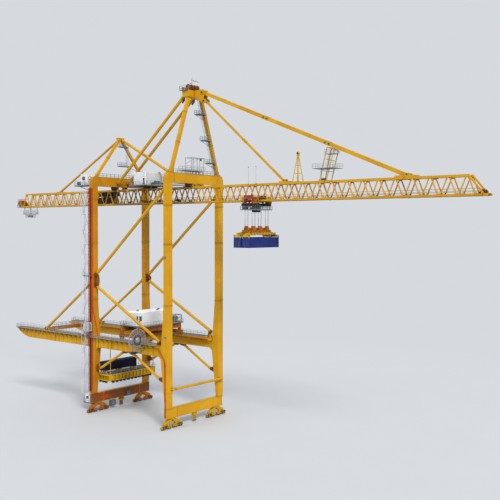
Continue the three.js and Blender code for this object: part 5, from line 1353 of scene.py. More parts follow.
# ============================================================ cable and pipes
pp = Kit()
pp.path([(0.55, -LEG_Y - 1.12, 65.5), (0.55, -LEG_Y - 1.12, 30.1), (0.75, -LEG_Y - 1.12, 29.5), (1.35, -LEG_Y - 1.12, 28.8), (1.6, -LEG_Y - 1.12, 27.6), (2.55, -LEG_Y - 1.12, 24.4), (2.9, -LEG_Y - 1.12, 23.2), (2.9, -LEG_Y - 1.12, 22.3)], 0.12, 10)
pp.path([(0.28, -LEG_Y - 1.12, 65.5), (0.28, -LEG_Y - 1.12, 5.7)], 0.10, 10)
pp.path([(27.0, -LEG_Y - 0.96, 21.6), (27.9, -LEG_Y - 1.12, 20.9), (29.2, -LEG_Y - 1.12, 19.4), (29.85, -LEG_Y - 1.12, 18.5), (30.1, -LEG_Y - 1.12, 17.4), (30.15, -LEG_Y - 1.12, 3.4), (30.15, -LEG_Y - 1.12, 3.1)], 0.13, 10)
pp.path([(0.3, -10.6, SILL_TOP + 0.12), (0.34, -9.2, 5.4), (0.40, -8.6, 4.7), (0.40, -3.0, 4.5)], 0.10, 10)
for z in range(7, 64, 3):
    pp.box(0.12, 0.72, -LEG_Y - 1.14, -LEG_Y - 1.0, z, z + 0.1) if z > 31 else pp.box(0.12, 0.42, -LEG_Y - 1.14, -LEG_Y - 1.0, z, z + 0.1)
for z in range(5, 18, 3):
    pp.box(29.95, 30.35, -LEG_Y - 1.14, -LEG_Y - 1.0, z, z + 0.1)
pp.box(LAND_X + 0.50, LAND_X + 0.62, -8.4, -5.8, 3.7, 4.45)
for i in range(4):
    pp.box(LAND_X + 0.60, LAND_X + 0.65, -8.3 + i * 0.62, -7.8 + i * 0.62, 3.8, 4.35)
pp.make("cable_pipes", PIPE)
# drive cabinets and junction boxes along the sill beams
cab = Kit()
for x, yy, w, z0, z1 in ((LAND_X + 0.52, -3.6, 1.6, 1.0, 2.6), (LAND_X + 0.52, 2.2, 1.2, 2.9, 4.4)):
    cab.box(x, x + 0.5, yy - w / 2, yy + w / 2, z0, z1)
    for i in range(3):
        cab.box(x + 0.48, x + 0.53, yy - w / 2 + 0.1 + i * w / 3, yy - w / 2 + 0.04 + (i + 0.85) * w / 3, z0 + 0.1, z1 - 0.1)
cab.make("drive_cabinets", GRY_D)

# ================================================================ cable reel
reel = Kit()
ry, rz = -14.0, 23.6
for xo in (22.12, 22.44):
    reel.lathe([(2.98, -0.03), (3.08, -0.03), (3.08, 0.03), (2.98, 0.03)], (xo, ry, rz), (1, 0, 0), 48)
    reel.lathe([(1.58, -0.025), (1.66, -0.025), (1.66, 0.025), (1.58, 0.025)], (xo, ry, rz), (1, 0, 0), 40)
    for i in range(20):
        t = 2 * math.pi * i / 20
        c, s = math.cos(t), math.sin(t)
        reel.bar((xo, ry + 0.6 * c, rz + 0.6 * s), (xo, ry + 3.0 * c, rz + 3.0 * s), 0.055)
for i in range(20):
    t = 2 * math.pi * i / 20
    c, s = math.cos(t), math.sin(t)
    for rr in (1.62, 2.3, 3.03):
        reel.bar((22.12, ry + rr * c, rz + rr * s), (22.44, ry + rr * c, rz + rr * s), 0.05)
reel.lathe([(0.05, -0.5), (0.62, -0.5), (0.70, -0.4), (0.70, 0.3), (0.55, 0.42), (0.05, 0.42)], (22.28, ry, rz), (1, 0, 0), 28)
reel.make("cable_reel_wheel", GRY, slot="galvanised", replaces=["cable_reel"])
rc = Kit()
pts = []
n = 32
for i in range(int(11.5 * n) + 1):
    t = 2 * math.pi * i / n
    rr = 0.85 + 0.0612 * i / n
    pts.append((22.28, ry + rr * math.cos(t), rz + rr * math.sin(t)))
rc.path(pts, 0.03, 6)
end = pts[-1]
rc.path([end, (22.28, ry - 1.63, rz - 0.5), (22.28, ry - 1.63, 19.75)], 0.03, 6)
rc.lathe([(0.01, 0), (0.09, 0), (0.09, 0.32), (0.04, 0.55), (0.01, 0.55)], (22.28, ry - 1.63, 19.25), (0, 0, 1), 14)
rc.make("cable_reel_windings", RUB)
rb = Kit()
rb.box(21.05, 21.85, ry - 0.35, -LEG_Y - 0.84, 20.62, 20.78)
rb.box(21.05, 21.85, ry - 0.35, -LEG_Y - 0.84, 21.2, 21.34)
rb.box(21.40, 21.50, ry - 0.35, -LEG_Y - 0.84, 20.7, 21.3)
rb.prism([(ry - 0.35, 20.7), (ry + 0.35, 20.7), (ry + 0.25, 24.0), (ry - 0.25, 24.0)], "yz", 21.25, 21.42)
rb.prism([(ry - 0.35, 20.7), (ry + 0.35, 20.7), (ry + 0.25, 24.0), (ry - 0.25, 24.0)], "yz", 21.60, 21.74)
rb.box(21.2, 21.8, ry - 0.3, ry + 0.3, 23.2, 24.0)
rb.tube((21.2, ry, 23.6), (20.95, ry, 23.6), 0.25, 18)
rb.tube((21.45, ry, 24.0), (21.45, ry, 24.5), 0.18, 16)
rb.box(21.0, 21.9, -LEG_Y - 0.95, -LEG_Y - 0.81, 20.4, 21.6)
rb.make("cable_reel_bracket", YEL_S)
gd = Kit()
for s in (-1, 1):
    gd.sheave((22.28, ry - 1.63 + s * 0.332, 20.15), (1, 0, 0), 0.3, 0.14, 18)
    gd.tube((22.1, ry - 1.63 + s * 0.332, 20.15), (22.4, ry - 1.63 + s * 0.332, 20.15), 0.05, 12)
gd.box(22.0, 22.12, ry - 2.1, ry + 0.2, 19.9, 20.5)
gd.bar((22.06, ry - 0.4, 20.4), (21.5, ry + 0.3, 20.7), 0.12)
gd.make("cable_guide_rollers", DRK)

# ========================================================= lashing platform
lp, lpd = Kit(), Kit()
for s in (-1, 1):
    ya, yb = s * 7.72, s * 9.24
    for z0, z1 in ((9.4, 9.72), (10.88, 11.2)):
        lp.box(-0.6, 5.1, ya, yb, z0, z1)
    for xx in (-0.6, 0.5, 1.75, 3.0, 4.1, 5.0):
        lp.box(xx, xx + 0.12, ya, yb, 9.7, 10.9)
for xa, xb in ((-0.6, 0.3), (4.2, 5.1)):
    lp.box(xa, xb, -8, 8, 9.4, 9.62)
    lp.box(xa, xb, -8, 8, 10.98, 11.2)
    for x in (xa + 0.06, xb - 0.14):
        for i in range(12):
            yy = -7.6 + i * 1.38
            lp.box(x, x + 0.08, yy - 0.22, yy + 0.22, 9.6, 11.0)
    lp.box((xa + xb) / 2 - 0.04, (xa + xb) / 2 + 0.04, -8, 8, 9.62, 10.98)
for y in (-8.5, -2.65, 3.0):
    for z in (10.95, 11.9):
        lp.box(0.5, 2.95, y, y + 0.4, z, z + 0.14)
    for x in (0.5, 1.6, 2.75):
        lp.box(x, x + 0.2, y, y + 0.4, 11.05, 11.95)
    lp.bar((0.6, y + 0.2, 11.1), (1.7, y + 0.2, 11.9), 0.10)
    lp.bar((2.85, y + 0.2, 11.1), (1.7, y + 0.2, 11.9), 0.10)
for s in (-1, 1):
    lp.bar((4.9, s * 8.5, 11.1), (4.9, s * 8.5, 21.4), 0.16)
    lp.box(4.7, 5.1, s * 8.5 - 0.22, s * 8.5 + 0.22, 21.28, 21.44)
    lp.box(4.72, 5.08, s * 8.5 - 0.2, s * 8.5 + 0.2, 11.1, 11.3)
    for z in (14.0, 17.0, 20.0):
        lp.box(4.78, 5.02, s * 8.5 - 0.12, s * 8.5 + 0.12, z, z + 0.12)
lp.make("lashing_platform_frame", YEL_S, slot="yellow_paint", replaces=["lashing_platform"])
lpd.box(0.25, 4.25, -7.95, 7.95, 10.9, 10.98)
for i in range(17):
    yy = -7.9 + i * 0.985
    lpd.box(0.28, 4.22, yy - 0.04, yy + 0.04, 10.7, 10.9)
lpd.make("lashing_platform_deck", GRATE)
fence.handrail([(5.05, -9.2, 11.2), (5.05, 9.2, 11.2)])
fence.handrail([(-0.55, 9.2, 11.2), (-0.55, 4.2, 11.2)])
fence.handrail([(5.05, -9.2, 11.2), (0.8, -9.2, 11.2)], step=1.1)
fence.handrail([(5.05, 9.2, 11.2), (-0.5, 9.2, 11.2)], step=1.1)
# dark boxes hung below its waterside edge, and twist-lock bins on top
for i in range(11):
    yy = -7.3 + i * 1.46
    dk.prism([(yy - 0.52, 9.38), (yy + 0.52, 9.38), (yy + 0.28, 8.75), (yy - 0.28, 8.75)], "yz", 4.35, 5.0)
    dk.box(4.2, 4.9, yy - 0.42, yy + 0.42, 11.22, 11.7) if i % 2 else dk.box(4.3, 4.8, yy - 0.3, yy + 0.3, 11.22, 11.55)
for xx in (0.9, 2.2, 3.4):
    dk.prism([(xx - 0.4, 9.38), (xx + 0.4, 9.38), (xx + 0.2, 8.75), (xx - 0.2, 8.75)], "xz", -9.1, -8.5)
# dark machinery carried under the platform
for x0, x1, y0, y1, z0, z1 in ((0.8, 2.0, -6.6, -4.8, 9.6, 10.6), (0.8, 2.0, -1.5, 0.4, 9.6, 10.6), (0.8, 2.0, 3.4, 5.0, 9.6, 10.6), (2.6, 3.8, -4.6, -2.2, 9.7, 10.6)):
    dk.box(x0, x1, y0, y1, z0, z1)
    dk.box(x0 + 0.2, x1 - 0.2, y0 - 0.25, y1 + 0.25, z0 + 0.25, z1 - 0.25)
for y in (-3.6, 1.6):
    dk.tube((0.5, y, 10.2), (4.0, y, 10.2), 0.16, 12)


# =============================================================== containers
def container(name, x0, x1, y0, y1, z0, z1, mat, body, slot, replaces):
    """Corrugated freight container, long side along y."""
    c = Kit()
    e = 0.07
    c.box(x0 + e, x1 - e, y0 + e, y1 - e, z0 + 0.1, z1 - 0.06)
    for a, b, o in (((x0 + e, y0 + 0.14, 0), (x0 + e, y1 - 0.14, 0), (-1, 0, 0)), ((x1 - e, y1 - 0.14, 0), (x1 - e, y0 + 0.14, 0), (1, 0, 0)), ((x1 - 0.14, y1 - e, 0), (x0 + 0.14, y1 - e, 0), (0, 1, 0))):
        corrugated(c, a, b, z0 + 0.16, z1 - 0.12, o, 0.29, 0.045)
    for x in (x0, x1 - 0.16):
        for y in (y0, y1 - 0.16):
            c.box(x, x + 0.16, y, y + 0.16, z0 + 0.1, z1 - 0.1)
            c.box(x, x + 0.18 if x == x0 else x + 0.16, y, y + 0.17 if y == y0 else y + 0.16, z0, z0 + 0.13)
            c.box(x, x + 0.16, y, y + 0.16, z1 - 0.13, z1)
    for x in (x0 + 0.01, x1 - 0.09):
        c.box(x, x + 0.08, y0 + 0.1, y1 - 0.1, z0 + 0.02, z0 + 0.17)
        c.box(x, x + 0.08, y0 + 0.1, y1 - 0.1, z1 - 0.12, z1 - 0.02)
    for y in (y0 + 0.01, y1 - 0.09):
        c.box(x0 + 0.1, x1 - 0.1, y, y + 0.08, z0 + 0.02, z0 + 0.17)
        c.box(x0 + 0.1, x1 - 0.1, y, y + 0.08, z1 - 0.12, z1 - 0.02)
    n = 38
    for i in range(n):
        yy = y0 + 0.2 + (y1 - y0 - 0.4) * (i + 0.5) / n
        c.box(x0 + 0.2, x1 - 0.2, yy - 0.07, yy + 0.07, z1 - 0.07, z1 - 0.035)
    # door end on the near side
    mid = (x0 + x1) / 2
    for xa, xb in ((x0 + 0.17, mid - 0.02), (mid + 0.02, x1 - 0.17)):
        c.box(xa, xb, y0 + 0.03, y0 + 0.08, z0 + 0.18, z1 - 0.14)
        for zz in (0.35, 0.75, 1.15):
            c.box(xa + 0.05, xb - 0.05, y0 + 0.015, y0 + 0.06, z0 + zz * (z1 - z0) / 1.45, z0 + (zz + 0.06) * (z1 - z0) / 1.45)
    c.make(name, mat, body, slot=slot, replaces=[replaces])
    r = Kit()
    for x in (x0 + 0.45, mid - 0.3, mid + 0.3, x1 - 0.45):
        r.tube((x, y0 + 0.0, z0 + 0.16), (x, y0 + 0.0, z1 - 0.12), 0.022, 8)
        for zz in (0.2, 0.5, 0.8):
            r.box(x - 0.05, x + 0.05, y0 - 0.02, y0 + 0.03, z0 + (z1 - z0) * zz, z0 + (z1 - z0) * zz + 0.07)
        r.box(x - 0.02, x + 0.24, y0 - 0.01, y0 + 0.02, z0 + 1.0, z0 + 1.04)
    r.make(name + "_lock_rods", GRY_D, body)


container("platform_container_shell", 0.5, 2.94, -8.7, 3.49, 12.104, 14.7, NVY, "crane", "navy_paint", "platform_container")
container("hung_container_landside_shell", LX - 2.6, LX - 0.16, -6.1, 6.1, LOAD_BOT, CONT_TOP, BLU, "hung_load", "blue_paint", "hung_container_landside")
container("hung_container_waterside_shell", LX + 0.16, LX + 2.6, -6.1, 6.1, LOAD_BOT, CONT_TOP, BLU, "hung_load", "blue_paint", "hung_container_waterside")

# ============================================================= main trolley
T = "main_trolley"
tr, td, tb, to, tg, tw = Kit(), Kit(), Kit(), Kit(), Kit(), Kit()
for s in (-1, 1):
    ya, yb = s * 2.32, s * 2.88
    td.box(TX - 2.7, TX + 2.7, ya, yb, 59.5, 59.58)
    td.box(TX - 2.7, TX + 2.7, ya, yb, 60.12, 60.2)
    td.box(TX - 2.7, TX + 2.7, s * 2.42, s * 2.78, 59.5, 60.2)
    for i in range(9):
        xx = TX - 2.6 + i * 0.65
        td.box(xx - 0.03, xx + 0.03, ya, yb, 59.55, 60.15)
    for x in (TX - 2.0, TX + 2.0):
        tr.box(x - 0.62, x - 0.50, s * 2.22, s * 2.48, 60.1, 62.0)
        tr.box(x + 0.50, x + 0.62, s * 2.22, s * 2.48, 60.1, 62.0)
        tr.box(x - 0.62, x + 0.62, s * 2.40, s * 2.48, 60.1, 61.95)
        tr.box(x - 0.64, x + 0.64, s * 2.20, s * 2.50, 61.05, 61.17)
        for xw in (x - 0.38, x + 0.38):
            tw.lathe([(0.05, -0.11), (0.34, -0.11), (0.34, 0.05), (0.40, 0.06), (0.40, 0.12), (0.05, 0.12)], (xw, s * 1.78, 61.4), (0, 1 if s > 0 else -1, 0), 26)
            tw.tube((xw, s * 1.62, 61.4), (xw, s * 2.34, 61.4), 0.09, 12)
            td.box(xw - 0.17, xw + 0.17, s * 2.05, s * 2.3, 61.2, 61.6)
for x in (TX - 2.4, TX, TX + 2.4):
    td.box(x - 0.3, x + 0.3, -2.35, 2.35, 59.5, 59.58)
    td.box(x - 0.3, x + 0.3, -2.35, 2.35, 60.07, 60.15)
    td.box(x - 0.05, x + 0.05, -2.35, 2.35, 59.55, 60.1)
    for y in (-1.6, -0.8, 0, 0.8, 1.6):
        td.box(x - 0.28, x + 0.28, y - 0.03, y + 0.03, 59.55, 60.1)
WX = TX + 0.8
# winches on both outer sides: drum, gearbox, motor, on a red frame
for s in (-1, 1):
    y0, y1 = s * 2.57, s * 3.12
    to.box(WX - 2.5, WX + 0.3, y0, y1, 60.14, 60.3)
    to.box(WX - 2.5, WX - 2.3, y0, y1, 60.2, 62.25)
    to.box(WX + 0.1, WX + 0.3, y0, y1, 60.2, 62.25)
    to.box(WX - 2.5, WX + 0.3, y0, y1, 62.12, 62.28)
    to.box(WX - 2.3, WX + 0.1, s * 2.62, s * 3.02, 61.25, 62.15)
    for i in range(6):
        to.box(WX - 2.25 + i * 0.4, WX - 2.12 + i * 0.4, s * 2.6, s * 3.08, 61.3, 62.1)
    tb.tube((WX - 2.25, s * 2.85, 60.8), (WX - 0.9, s * 2.85, 60.8), 0.27, 20)
    for i in range(12):
        tb.lathe([(0.26, -0.02), (0.29, 0), (0.26, 0.02)], (WX - 2.18 + i * 0.11, s * 2.85, 60.8), (1, 0, 0), 18)
    td.tube((WX - 0.85, s * 2.85, 60.8), (WX + 0.05, s * 2.85, 60.8), 0.22, 16)
    td.box(WX - 0.95, WX - 0.75, s * 2.6, s * 3.1, 60.3, 61.15)
    for xx, zz, rr in ((TX + 1.65, 61.3, 0.74), (TX + 2.25, 61.3, 0.74)):
        tg.sheave((xx, s * 2.78, zz), (0, 1, 0), rr * 0.62, 0.2, 30)
    tg.box(TX + 1.15, TX + 2.7, s * 2.56, s * 2.62, 60.15, 60.7)
    tg.box(TX + 1.15, TX + 2.7, s * 2.92, s * 2.98, 60.15, 60.7)
    td.tube((TX + 1.65, s * 2.56, 61.3), (TX + 1.65, s * 3.0, 61.3), 0.1, 12)
    td.tube((TX + 2.25, s * 2.56, 61.3), (TX + 2.25, s * 3.0, 61.3), 0.1, 12)
    for xx in (TX + 1.65, TX + 2.25):
        tg.prism([(xx - 0.3, 60.6), (xx + 0.3, 60.6), (xx + 0.14, 61.4), (xx - 0.14, 61.4)], "xz", s * 2.92, s * 2.98)
tr.make("main_trolley_frame", YEL_S, T, slot="yellow_paint", replaces=["main_trolley"])
td.make("main_trolley_dark_gear", DRK, T)
tb.make("main_trolley_drums", ROPE, T)
to.make("main_trolley_winch_frame", BRN, T)
tg.make("main_trolley_sheaves", ORANGE_SHADE, T)
tw.make("main_trolley_wheels", WHEEL, T)
tp, th = Kit(), Kit()
tp.box(TX - 2.88, TX + 2.88, -3.05, 3.05, 58.54, 58.6)
for x in (TX - 2.85, TX - 1.0, TX + 1.0, TX + 2.85):
    tp.box(x - 0.04, x + 0.04, -3.05, 3.05, 58.5, 58.64)
for y in (-3.02, 0, 3.02):
    tp.box(TX - 2.88, TX + 2.88, y - 0.04, y + 0.04, 58.5, 58.64)
tp.make("main_trolley_gallery", GRATE, T)
for x in (TX - 2.5, TX, TX + 2.5):
    for s in (-1, 1):
        th.bar((x, s * 2.6, 58.5), (x, s * 2.6, 59.55), 0.12)
th.handrail([(TX - 2.85, -3.02, 58.6), (TX + 2.85, -3.02, 58.6), (TX + 2.85, 3.02, 58.6), (TX - 2.85, 3.02, 58.6), (TX - 2.85, -3.02, 58.6)], h=0.9, step=0.95)
th.box(TX - 2.6, TX - 1.7, -2.2, -1.2, 58.62, 59.4)
th.box(TX - 2.5, TX - 1.2, 0.6, 1.9, 58.62, 59.3)
th.make("main_trolley_gallery_rails", GRY_D, T)
# operator cab
oc, og = Kit(), Kit()
X0, X1, Y0, Y1, Z0, Z1 = 52.6, 54.2, -2.4, -0.9, 57.9, 59.4
oc.box(X0, X1, Y0, Y1, Z1 - 0.12, Z1)
oc.box(X0, X1, Y0, Y1, Z0, Z0 + 0.10)
oc.box(X0, X0 + 0.06, Y0, Y1, Z0, Z1)
for x in (X0 + 0.04, X1 - 0.04):
    for y in (Y0 + 0.04, Y1 - 0.04):
        oc.box(x - 0.04, x + 0.04, y - 0.04, y + 0.04, Z0, Z1)
oc.box(X0, X1, Y0, Y0 + 0.05, Z0 + 0.05, Z0 + 0.5)
oc.box(X0, X1, Y1 - 0.05, Y1, Z0 + 0.05, Z0 + 0.5)
oc.box(X1 - 0.05, X1, Y0, Y1, Z0 + 0.05, Z0 + 0.35)
oc.box(X0 + 0.75, X0 + 0.81, Y0, Y0 + 0.05, Z0 + 0.4, Z1)
oc.box(X0 + 0.4, X0 + 1.0, -1.95, -1.35, Z0 + 0.1, Z0 + 0.55)
oc.box(X0 + 0.4, X0 + 0.52, -1.95, -1.35, Z0 + 0.5, Z0 + 1.1)
oc.box(X0 + 0.2, X1 - 0.2, Y0 + 0.3, Y1 - 0.3, Z1 - 0.02, Z1 + 0.06)
oc.make("operator_cab_body", DRK, T, slot="dark_paint", replaces=["operator_cab"])
og.box(X0 + 0.07, X1 - 0.02, Y0 + 0.015, Y0 + 0.03, Z0 + 0.5, Z1 - 0.1)
og.box(X0 + 0.07, X1 - 0.02, Y1 - 0.03, Y1 - 0.015, Z0 + 0.5, Z1 - 0.1)
og.box(X1 - 0.03, X1 - 0.015, Y0 + 0.05, Y1 - 0.05, Z0 + 0.35, Z1 - 0.1)
og.make("operator_cab_windows", GLS, T)

# ====================================================== ropes, headblock, load
H = "hung_load"
ropes2 = []
HB_TOP = 53.4
for sx in (-1.2, 1.2):
    for yc in (-2.75, 2.75):
        for o in (-0.62, -0.5, 0.5, 0.62):
            k3 = Kit()
            p0, p1 = (LX + sx * 0.92 + 0.04 * (o > 0), yc + o, 59.62), (LX + sx + (0.12 if abs(o) > 0.55 else -0.12), yc + o * 1.0, 53.75)
            ropes2.append((p0, p1))
for i, (p0, p1) in enumerate(ropes2):
    mesh = bpy.data.meshes.new("hoist_rope_%02d" % i)
    k3 = Kit()
    k3.path([p1, Vector(p1).lerp(Vector(p0), 0.5), p0], 0.024, 8)
    ob = k3.make("hoist_rope_%02d" % i, ROPE, None, slot="wire_rope", replaces=["hoist_ropes"] if i == 0 else ())
    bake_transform(ob)
# sheave stack and hangers between trolley and headblock
hb, hs, hd = Kit(), Kit(), Kit()
hb.box(LX - 1.6, LX + 1.6, -4.0, 4.0, 52.754, 52.86)
hb.box(LX - 1.6, LX + 1.6, -4.0, 4.0, 53.3, 53.4)
for x in (-1.5, -0.5, 0.5, 1.44):
    hb.box(LX + x, LX + x + 0.07, -4.0, 4.0, 52.8, 53.35)
for i in range(11):
    yy = -4.0 + i * 0.79
    hb.box(LX - 1.58, LX + 1.58, yy, yy + 0.07, 52.8, 53.35)
for sx in (-1.2, 1.2):
    for y in (-2.75, 0, 2.75):
        hs.sheave((LX + sx - 0.12, y, 53.72), (1, 0, 0), 0.72, 0.2, 30)
        hs.sheave((LX + sx + 0.12, y, 53.72), (1, 0, 0), 0.72, 0.2, 30)
        for o in (-0.32, 0.27):
            hb.prism([(y - 0.75, 53.38), (y + 0.75, 53.38), (y + 0.22, 54.1), (y - 0.22, 54.1)], "yz", LX + sx + o, LX + sx + o + 0.06)
        hd.tube((LX + sx - 0.36, y, 53.72), (LX + sx + 0.36, y, 53.72), 0.11, 14)
hb.box(LX - 0.7, LX + 0.7, -3.3, 3.3, 53.38, 53.85)
for yy in (-2.6, -1.7, -0.8, 0.1, 1.0, 1.9, 2.8):
    hb.box(LX - 0.8, LX + 0.8, yy, yy + 0.08, 53.38, 53.95)
hb.make("headblock_frame", ORANGE_SHADE, H, slot="orange_paint", replaces=["headblock"])
hs.make("headblock_sheaves", ORANGE_SHADE, H)
hd.box(LX - 0.5, LX + 0.5, 1.2, 2.0, 53.4, 54.0)
hd.lathe([(0.05, 0), (0.62, 0), (0.70, 0.5), (0.62, 0.5), (0.56, 0.06), (0.05, 0.06)], (LX, -1.6, 53.4), (0, 0, 1), 24)
sp = Kit()
for c in (LX - 1.38, LX + 1.38):
    sp.box(c - 0.5, c + 0.5, -4.4, 4.4, 52.2, 52.28)
    sp.box(c - 0.5, c + 0.5, -4.4, 4.4, 52.66, 52.74)
    sp.box(c - 0.42, c - 0.34, -4.4, 4.4, 52.2, 52.7)
    sp.box(c + 0.34, c + 0.42, -4.4, 4.4, 52.2, 52.7)
    sp.box(c - 0.34, c + 0.34, -6.05, 6.05, 52.14, 52.22)
    sp.box(c - 0.34, c + 0.34, -6.05, 6.05, 52.62, 52.70)
    sp.box(c - 0.26, c + 0.26, -6.0, 6.0, 52.18, 52.66)
    for yy in (-4.4, -3.2, -2.0, -0.8, 0.4, 1.6, 2.8, 4.0):
        sp.box(c - 0.5, c + 0.5, yy, yy + 0.08, 52.2, 52.74)
    for s in (-1, 1):
        sp.box(c - 0.3, c + 0.3, s * 4.2, s * 5.9, 52.1, 52.6)
        sp.box(c - 1.2, c + 1.2, s * 5.72, s * 6.08, 51.62, 52.1)
        sp.prism([(c - 0.3, 52.1), (c + 0.3, 52.1), (c + 0.2, 52.6), (c - 0.2, 52.6)], "xz", s * 5.7, s * 6.08)
        for xx in (-1.08, 1.08):
            hd.box(c + xx - 0.09, c + xx + 0.09, s * 5.82, s * 6.0, 51.56, 51.8)
            sp.prism([(c + xx - 0.14, 52.1), (c + xx + 0.14, 52.1), (c + xx + 0.10, 51.3), (c + xx - 0.10, 51.3)], "xz", s * 6.11, s * 6.17)
            sp.box(c + xx - 0.14, c + xx + 0.14, s * 6.05, s * 6.17, 51.9, 52.1)
for y in (-2.3, 2.3):
    sp.box(LX - 1.3, LX + 1.3, y - 0.28, y + 0.28, 52.06, 52.14)
    sp.box(LX - 1.3, LX + 1.3, y - 0.28, y + 0.28, 52.5, 52.58)
    sp.box(LX - 1.3, LX + 1.3, y - 0.05, y + 0.05, 52.1, 52.55)
for s in (-1, 1):
    for xx in (-1.2, 1.2):
        sp.bar((LX + xx, s * 3.6, 53.2), (LX + xx * 1.15, s * 5.3, 52.6), 0.10)
sp.make("spreader_frame", YEL_S, H, slot="yellow_paint", replaces=["tandem_spreader"])
for c in (LX - 1.38, LX + 1.38):
    hd.box(c - 0.28, c + 0.28, -0.5, 0.6, 52.3, 53.0) if False else hd.box(c - 0.25, c + 0.25, -3.9, -3.1, 52.3, 52.72)
    hd.tube((c, -5.6, 52.64), (c, 5.6, 52.64), 0.06, 8)
hd.make("load_dark_gear", DRK, H)

# =========================================================== portal trolley
P = "portal_trolley"
pt, pg, pw, pd = Kit(), Kit(), Kit(), Kit()
for s in (-1, 1):
    ya, yb = s * 8.16, s * 8.68
    for z0, z1 in ((22.82, 22.9), (23.62, 23.7)):
        pt.box(PX - 4.4, PX + 4.4, ya, yb, z0, z1)
    pt.box(PX - 4.4, PX + 4.4, s * 8.24, s * 8.60, 22.85, 23.66)
    for i in range(12):
        xx = PX - 4.3 + i * 0.782
        pt.box(xx - 0.04, xx + 0.04, ya, yb, 22.85, 23.66)
    for xw in (-3.9, -2.9, 2.9, 3.9):
        pw.lathe([(0.05, -0.12), (0.40, -0.12), (0.40, 0.12), (0.05, 0.12)], (PX + xw, s * 8.42, 22.664), (0, 1, 0), 28)
        pw.lathe([(0.36, -0.16), (0.44, -0.16), (0.44, -0.12), (0.36, -0.12)], (PX + xw, s * 8.42, 22.72), (0, 1, 0), 28)
        pt.prism([(PX + xw - 0.4, 22.9), (PX + xw + 0.4, 22.9), (PX + xw + 0.16, 22.55), (PX + xw - 0.16, 22.55)], "xz", s * 8.60, s * 8.68)
        pt.prism([(PX + xw - 0.4, 22.9), (PX + xw + 0.4, 22.9), (PX + xw + 0.16, 22.55), (PX + xw - 0.16, 22.55)], "xz", s * 8.18, s * 8.24)
    for x in (PX - 3.4, PX + 3.0):
        for o in (-0.5, 0.42):
            pt.box(x + o, x + o + 0.08, s * 8.16, s * 8.68, 23.65, 25.0)
        pt.box(x - 0.45, x + 0.45, s * 8.3, s * 8.56, 23.65, 25.0)
for x in (PX - 3.4, PX + 3.0):
    pt.box(x - 0.5, x + 0.5, -8.68, 8.68, 24.4, 24.5)
    pt.box(x - 0.5, x + 0.5, -8.68, 8.68, 25.76, 25.87)
    pt.box(x - 0.42, x - 0.34, -8.6, 8.6, 24.45, 25.8)
    pt.box(x + 0.34, x + 0.42, -8.6, 8.6, 24.45, 25.8)
    for i in range(15):
        yy = -8.6 + i * 1.22
        pt.box(x - 0.48, x + 0.48, yy, yy + 0.07, 24.48, 25.78)
pt.box(PX - 1.3, PX + 1.3, -6.1, 6.1, 22.6, 22.7)
pt.box(PX - 1.3, PX + 1.3, -6.1, 6.1, 23.3, 23.4)
for o in (-1.2, -0.04, 1.12):
    pt.box(PX + o, PX + o + 0.08, -6.05, 6.05, 22.65, 23.35)
for i in range(11):
    yy = -6.05 + i * 1.2
    pt.box(PX - 1.27, PX + 1.27, yy, yy + 0.08, 22.65, 23.35)
for y in (-3.4, 3.4):
    for a in (-0.85, 0.75):
        for b in (-1.05, 0.95):
            pt.box(PX + b, PX + b + 0.1, y + a, y + a + 0.1, 23.35, 25.9)
    pt.box(PX - 1.0, PX + 1.0, y - 0.75, y + 0.75, 23.4, 23.5)
    for s in (-1, 1):
        pt.bar((PX - 1.0, y + s * 0.8, 23.4), (PX + 1.0, y + s * 0.8, 25.85), 0.09)
        pt.bar((PX + 1.0, y + s * 0.8, 23.4), (PX - 1.0, y + s * 0.8, 25.85), 0.09)
for s in (-1, 1):
    for xx in (-1.15, 1.15):
        for yy in (-5.8, 5.8):
            pt.tube((PX + xx, yy, 22.6), (PX + xx, yy, 22.45), 0.12, 12)
pt.make("portal_trolley_frame", ORANGE_SHADE, P, slot="orange_paint", replaces=["portal_trolley"])
pw.make("portal_trolley_wheels", WHEEL, P)
pg.box(PX - 4.2, PX + 4.4, -8.4, 8.6, 26.05, 26.13)
for xx in (-4.15, -2.0, 0.1, 2.2, 4.35):
    pg.box(PX + xx - 0.05, PX + xx + 0.05, -8.4, 8.6, 25.87, 26.06)
for yy in (-8.35, -4.1, 0.1, 4.3, 8.55):
    pg.box(PX - 4.2, PX + 4.4, yy - 0.05, yy + 0.05, 25.87, 26.06)
pg.make("portal_trolley_deck", GRATE, P)
ph = Kit()
ph.handrail([(PX - 4.15, -8.35, 26.13), (PX + 4.35, -8.35, 26.13), (PX + 4.35, 8.55, 26.13), (PX - 4.15, 8.55, 26.13), (PX - 4.15, -8.35, 26.13)], step=1.2)
ph.make("portal_trolley_rails", GRY, P)
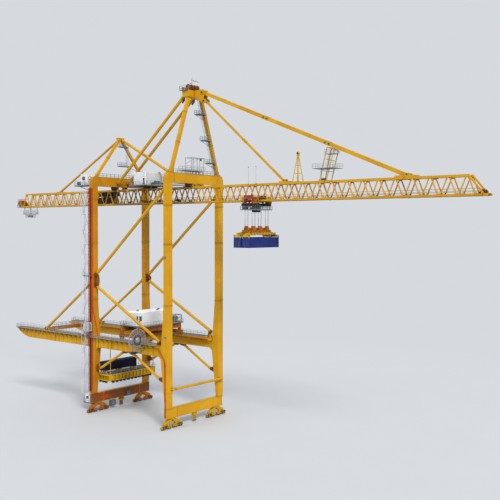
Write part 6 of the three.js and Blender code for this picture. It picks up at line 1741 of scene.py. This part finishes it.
# grey hoist frame and sheaves on the far end of its deck
pe = Kit()
for xx in (1.6, 4.0):
    for yy in (5.3, 8.2):
        pe.bar((PX + xx, yy, 26.13), (PX + xx, yy, 28.3), 0.16)
for yy in (5.3, 8.2):
    pe.bar((PX + 1.6, yy, 28.25), (PX + 4.0, yy, 28.25), 0.16)
    pe.bar((PX + 1.6, yy, 26.3), (PX + 4.0, yy, 28.1), 0.09)
for xx in (1.6, 4.0):
    pe.bar((PX + xx, 5.3, 28.25), (PX + xx, 8.2, 28.25), 0.16)
    pe.sheave((PX + xx - 0.6 if xx > 2 else PX + xx + 0.6, 6.7, 27.2), (1, 0, 0), 0.7, 0.22, 26)
pe.box(PX + 1.9, PX + 3.6, 5.7, 7.9, 26.13, 26.5)
pe.box(PX - 3.4, PX - 1.6, 5.6, 7.9, 26.13, 27.6)
pe.make("portal_hoist_gear", GRY_D, P)
for yy in (-3.4, 3.4):
    pd.lathe([(0.05, -0.6), (0.55, -0.6), (0.55, -0.52), (0.42, -0.48), (0.42, 0.48), (0.55, 0.52), (0.55, 0.6), (0.05, 0.6)], (PX, yy, 24.6), (1, 0, 0), 24)
pd.box(PX - 0.9, PX + 0.9, -1.6, 1.6, 23.4, 24.1)
pd.box(PX - 2.6, PX - 2.0, -6.5, -4.0, 25.0, 25.86)
pd.box(PX + 1.4, PX + 2.2, -6.5, -3.0, 24.9, 25.86)
pd.make("portal_trolley_dark_gear", DRK, P)
house("portal_house_shell", "portal_trolley_house", 10.1, 15.7, -7.4, 4.8, 26.154, 29.9, body=P, doors=(("+x", 3.6, 0.9, 2.1), ("+y", 11.2, 0.9, 2.1)),
      windows=(("-y", 15.2, 0.6, 28.2, 1.3), ("+x", -6.7, 0.8, 28.2, 1.3)), vents=((11.6, -4.0, 0.3), (14.0, 1.5, 0.3), (12.6, 3.4, 0.25)))
# grey drive housing by the near landside bogies
dk2 = Kit()
dk2.box(-1.35, -0.85, -3.7, -1.8, 0.35, 2.1)
for i in range(5):
    dk2.box(-1.4, -1.34, -3.6 + i * 0.37, -3.42 + i * 0.37, 0.5, 1.95)
dk2.tube((-1.1, -3.5, 2.1), (-1.1, -3.5, 2.9), 0.09, 10)
dk2.bar((-1.1, -2.6, 2.05), (-0.3, -2.6, 2.84), 0.12)
dk2.make("quay_power_housing", GRY_D)

# ------------------------------------------------------------------ the end
aux.make("apex_and_pylon_plates", YEL_S)
# apex sheaves take the dark joint copy: painted shade
org.make("apex_sheaves", JOINT_SHADE)
lad.make("ladders_and_frames", GRY)
dk.make("dark_fittings", DRK)
walk.make("walkway_gratings", GRATE)
fence.make("handrails", GRY, slot="galvanised")
lo, hi = CAD_BOX
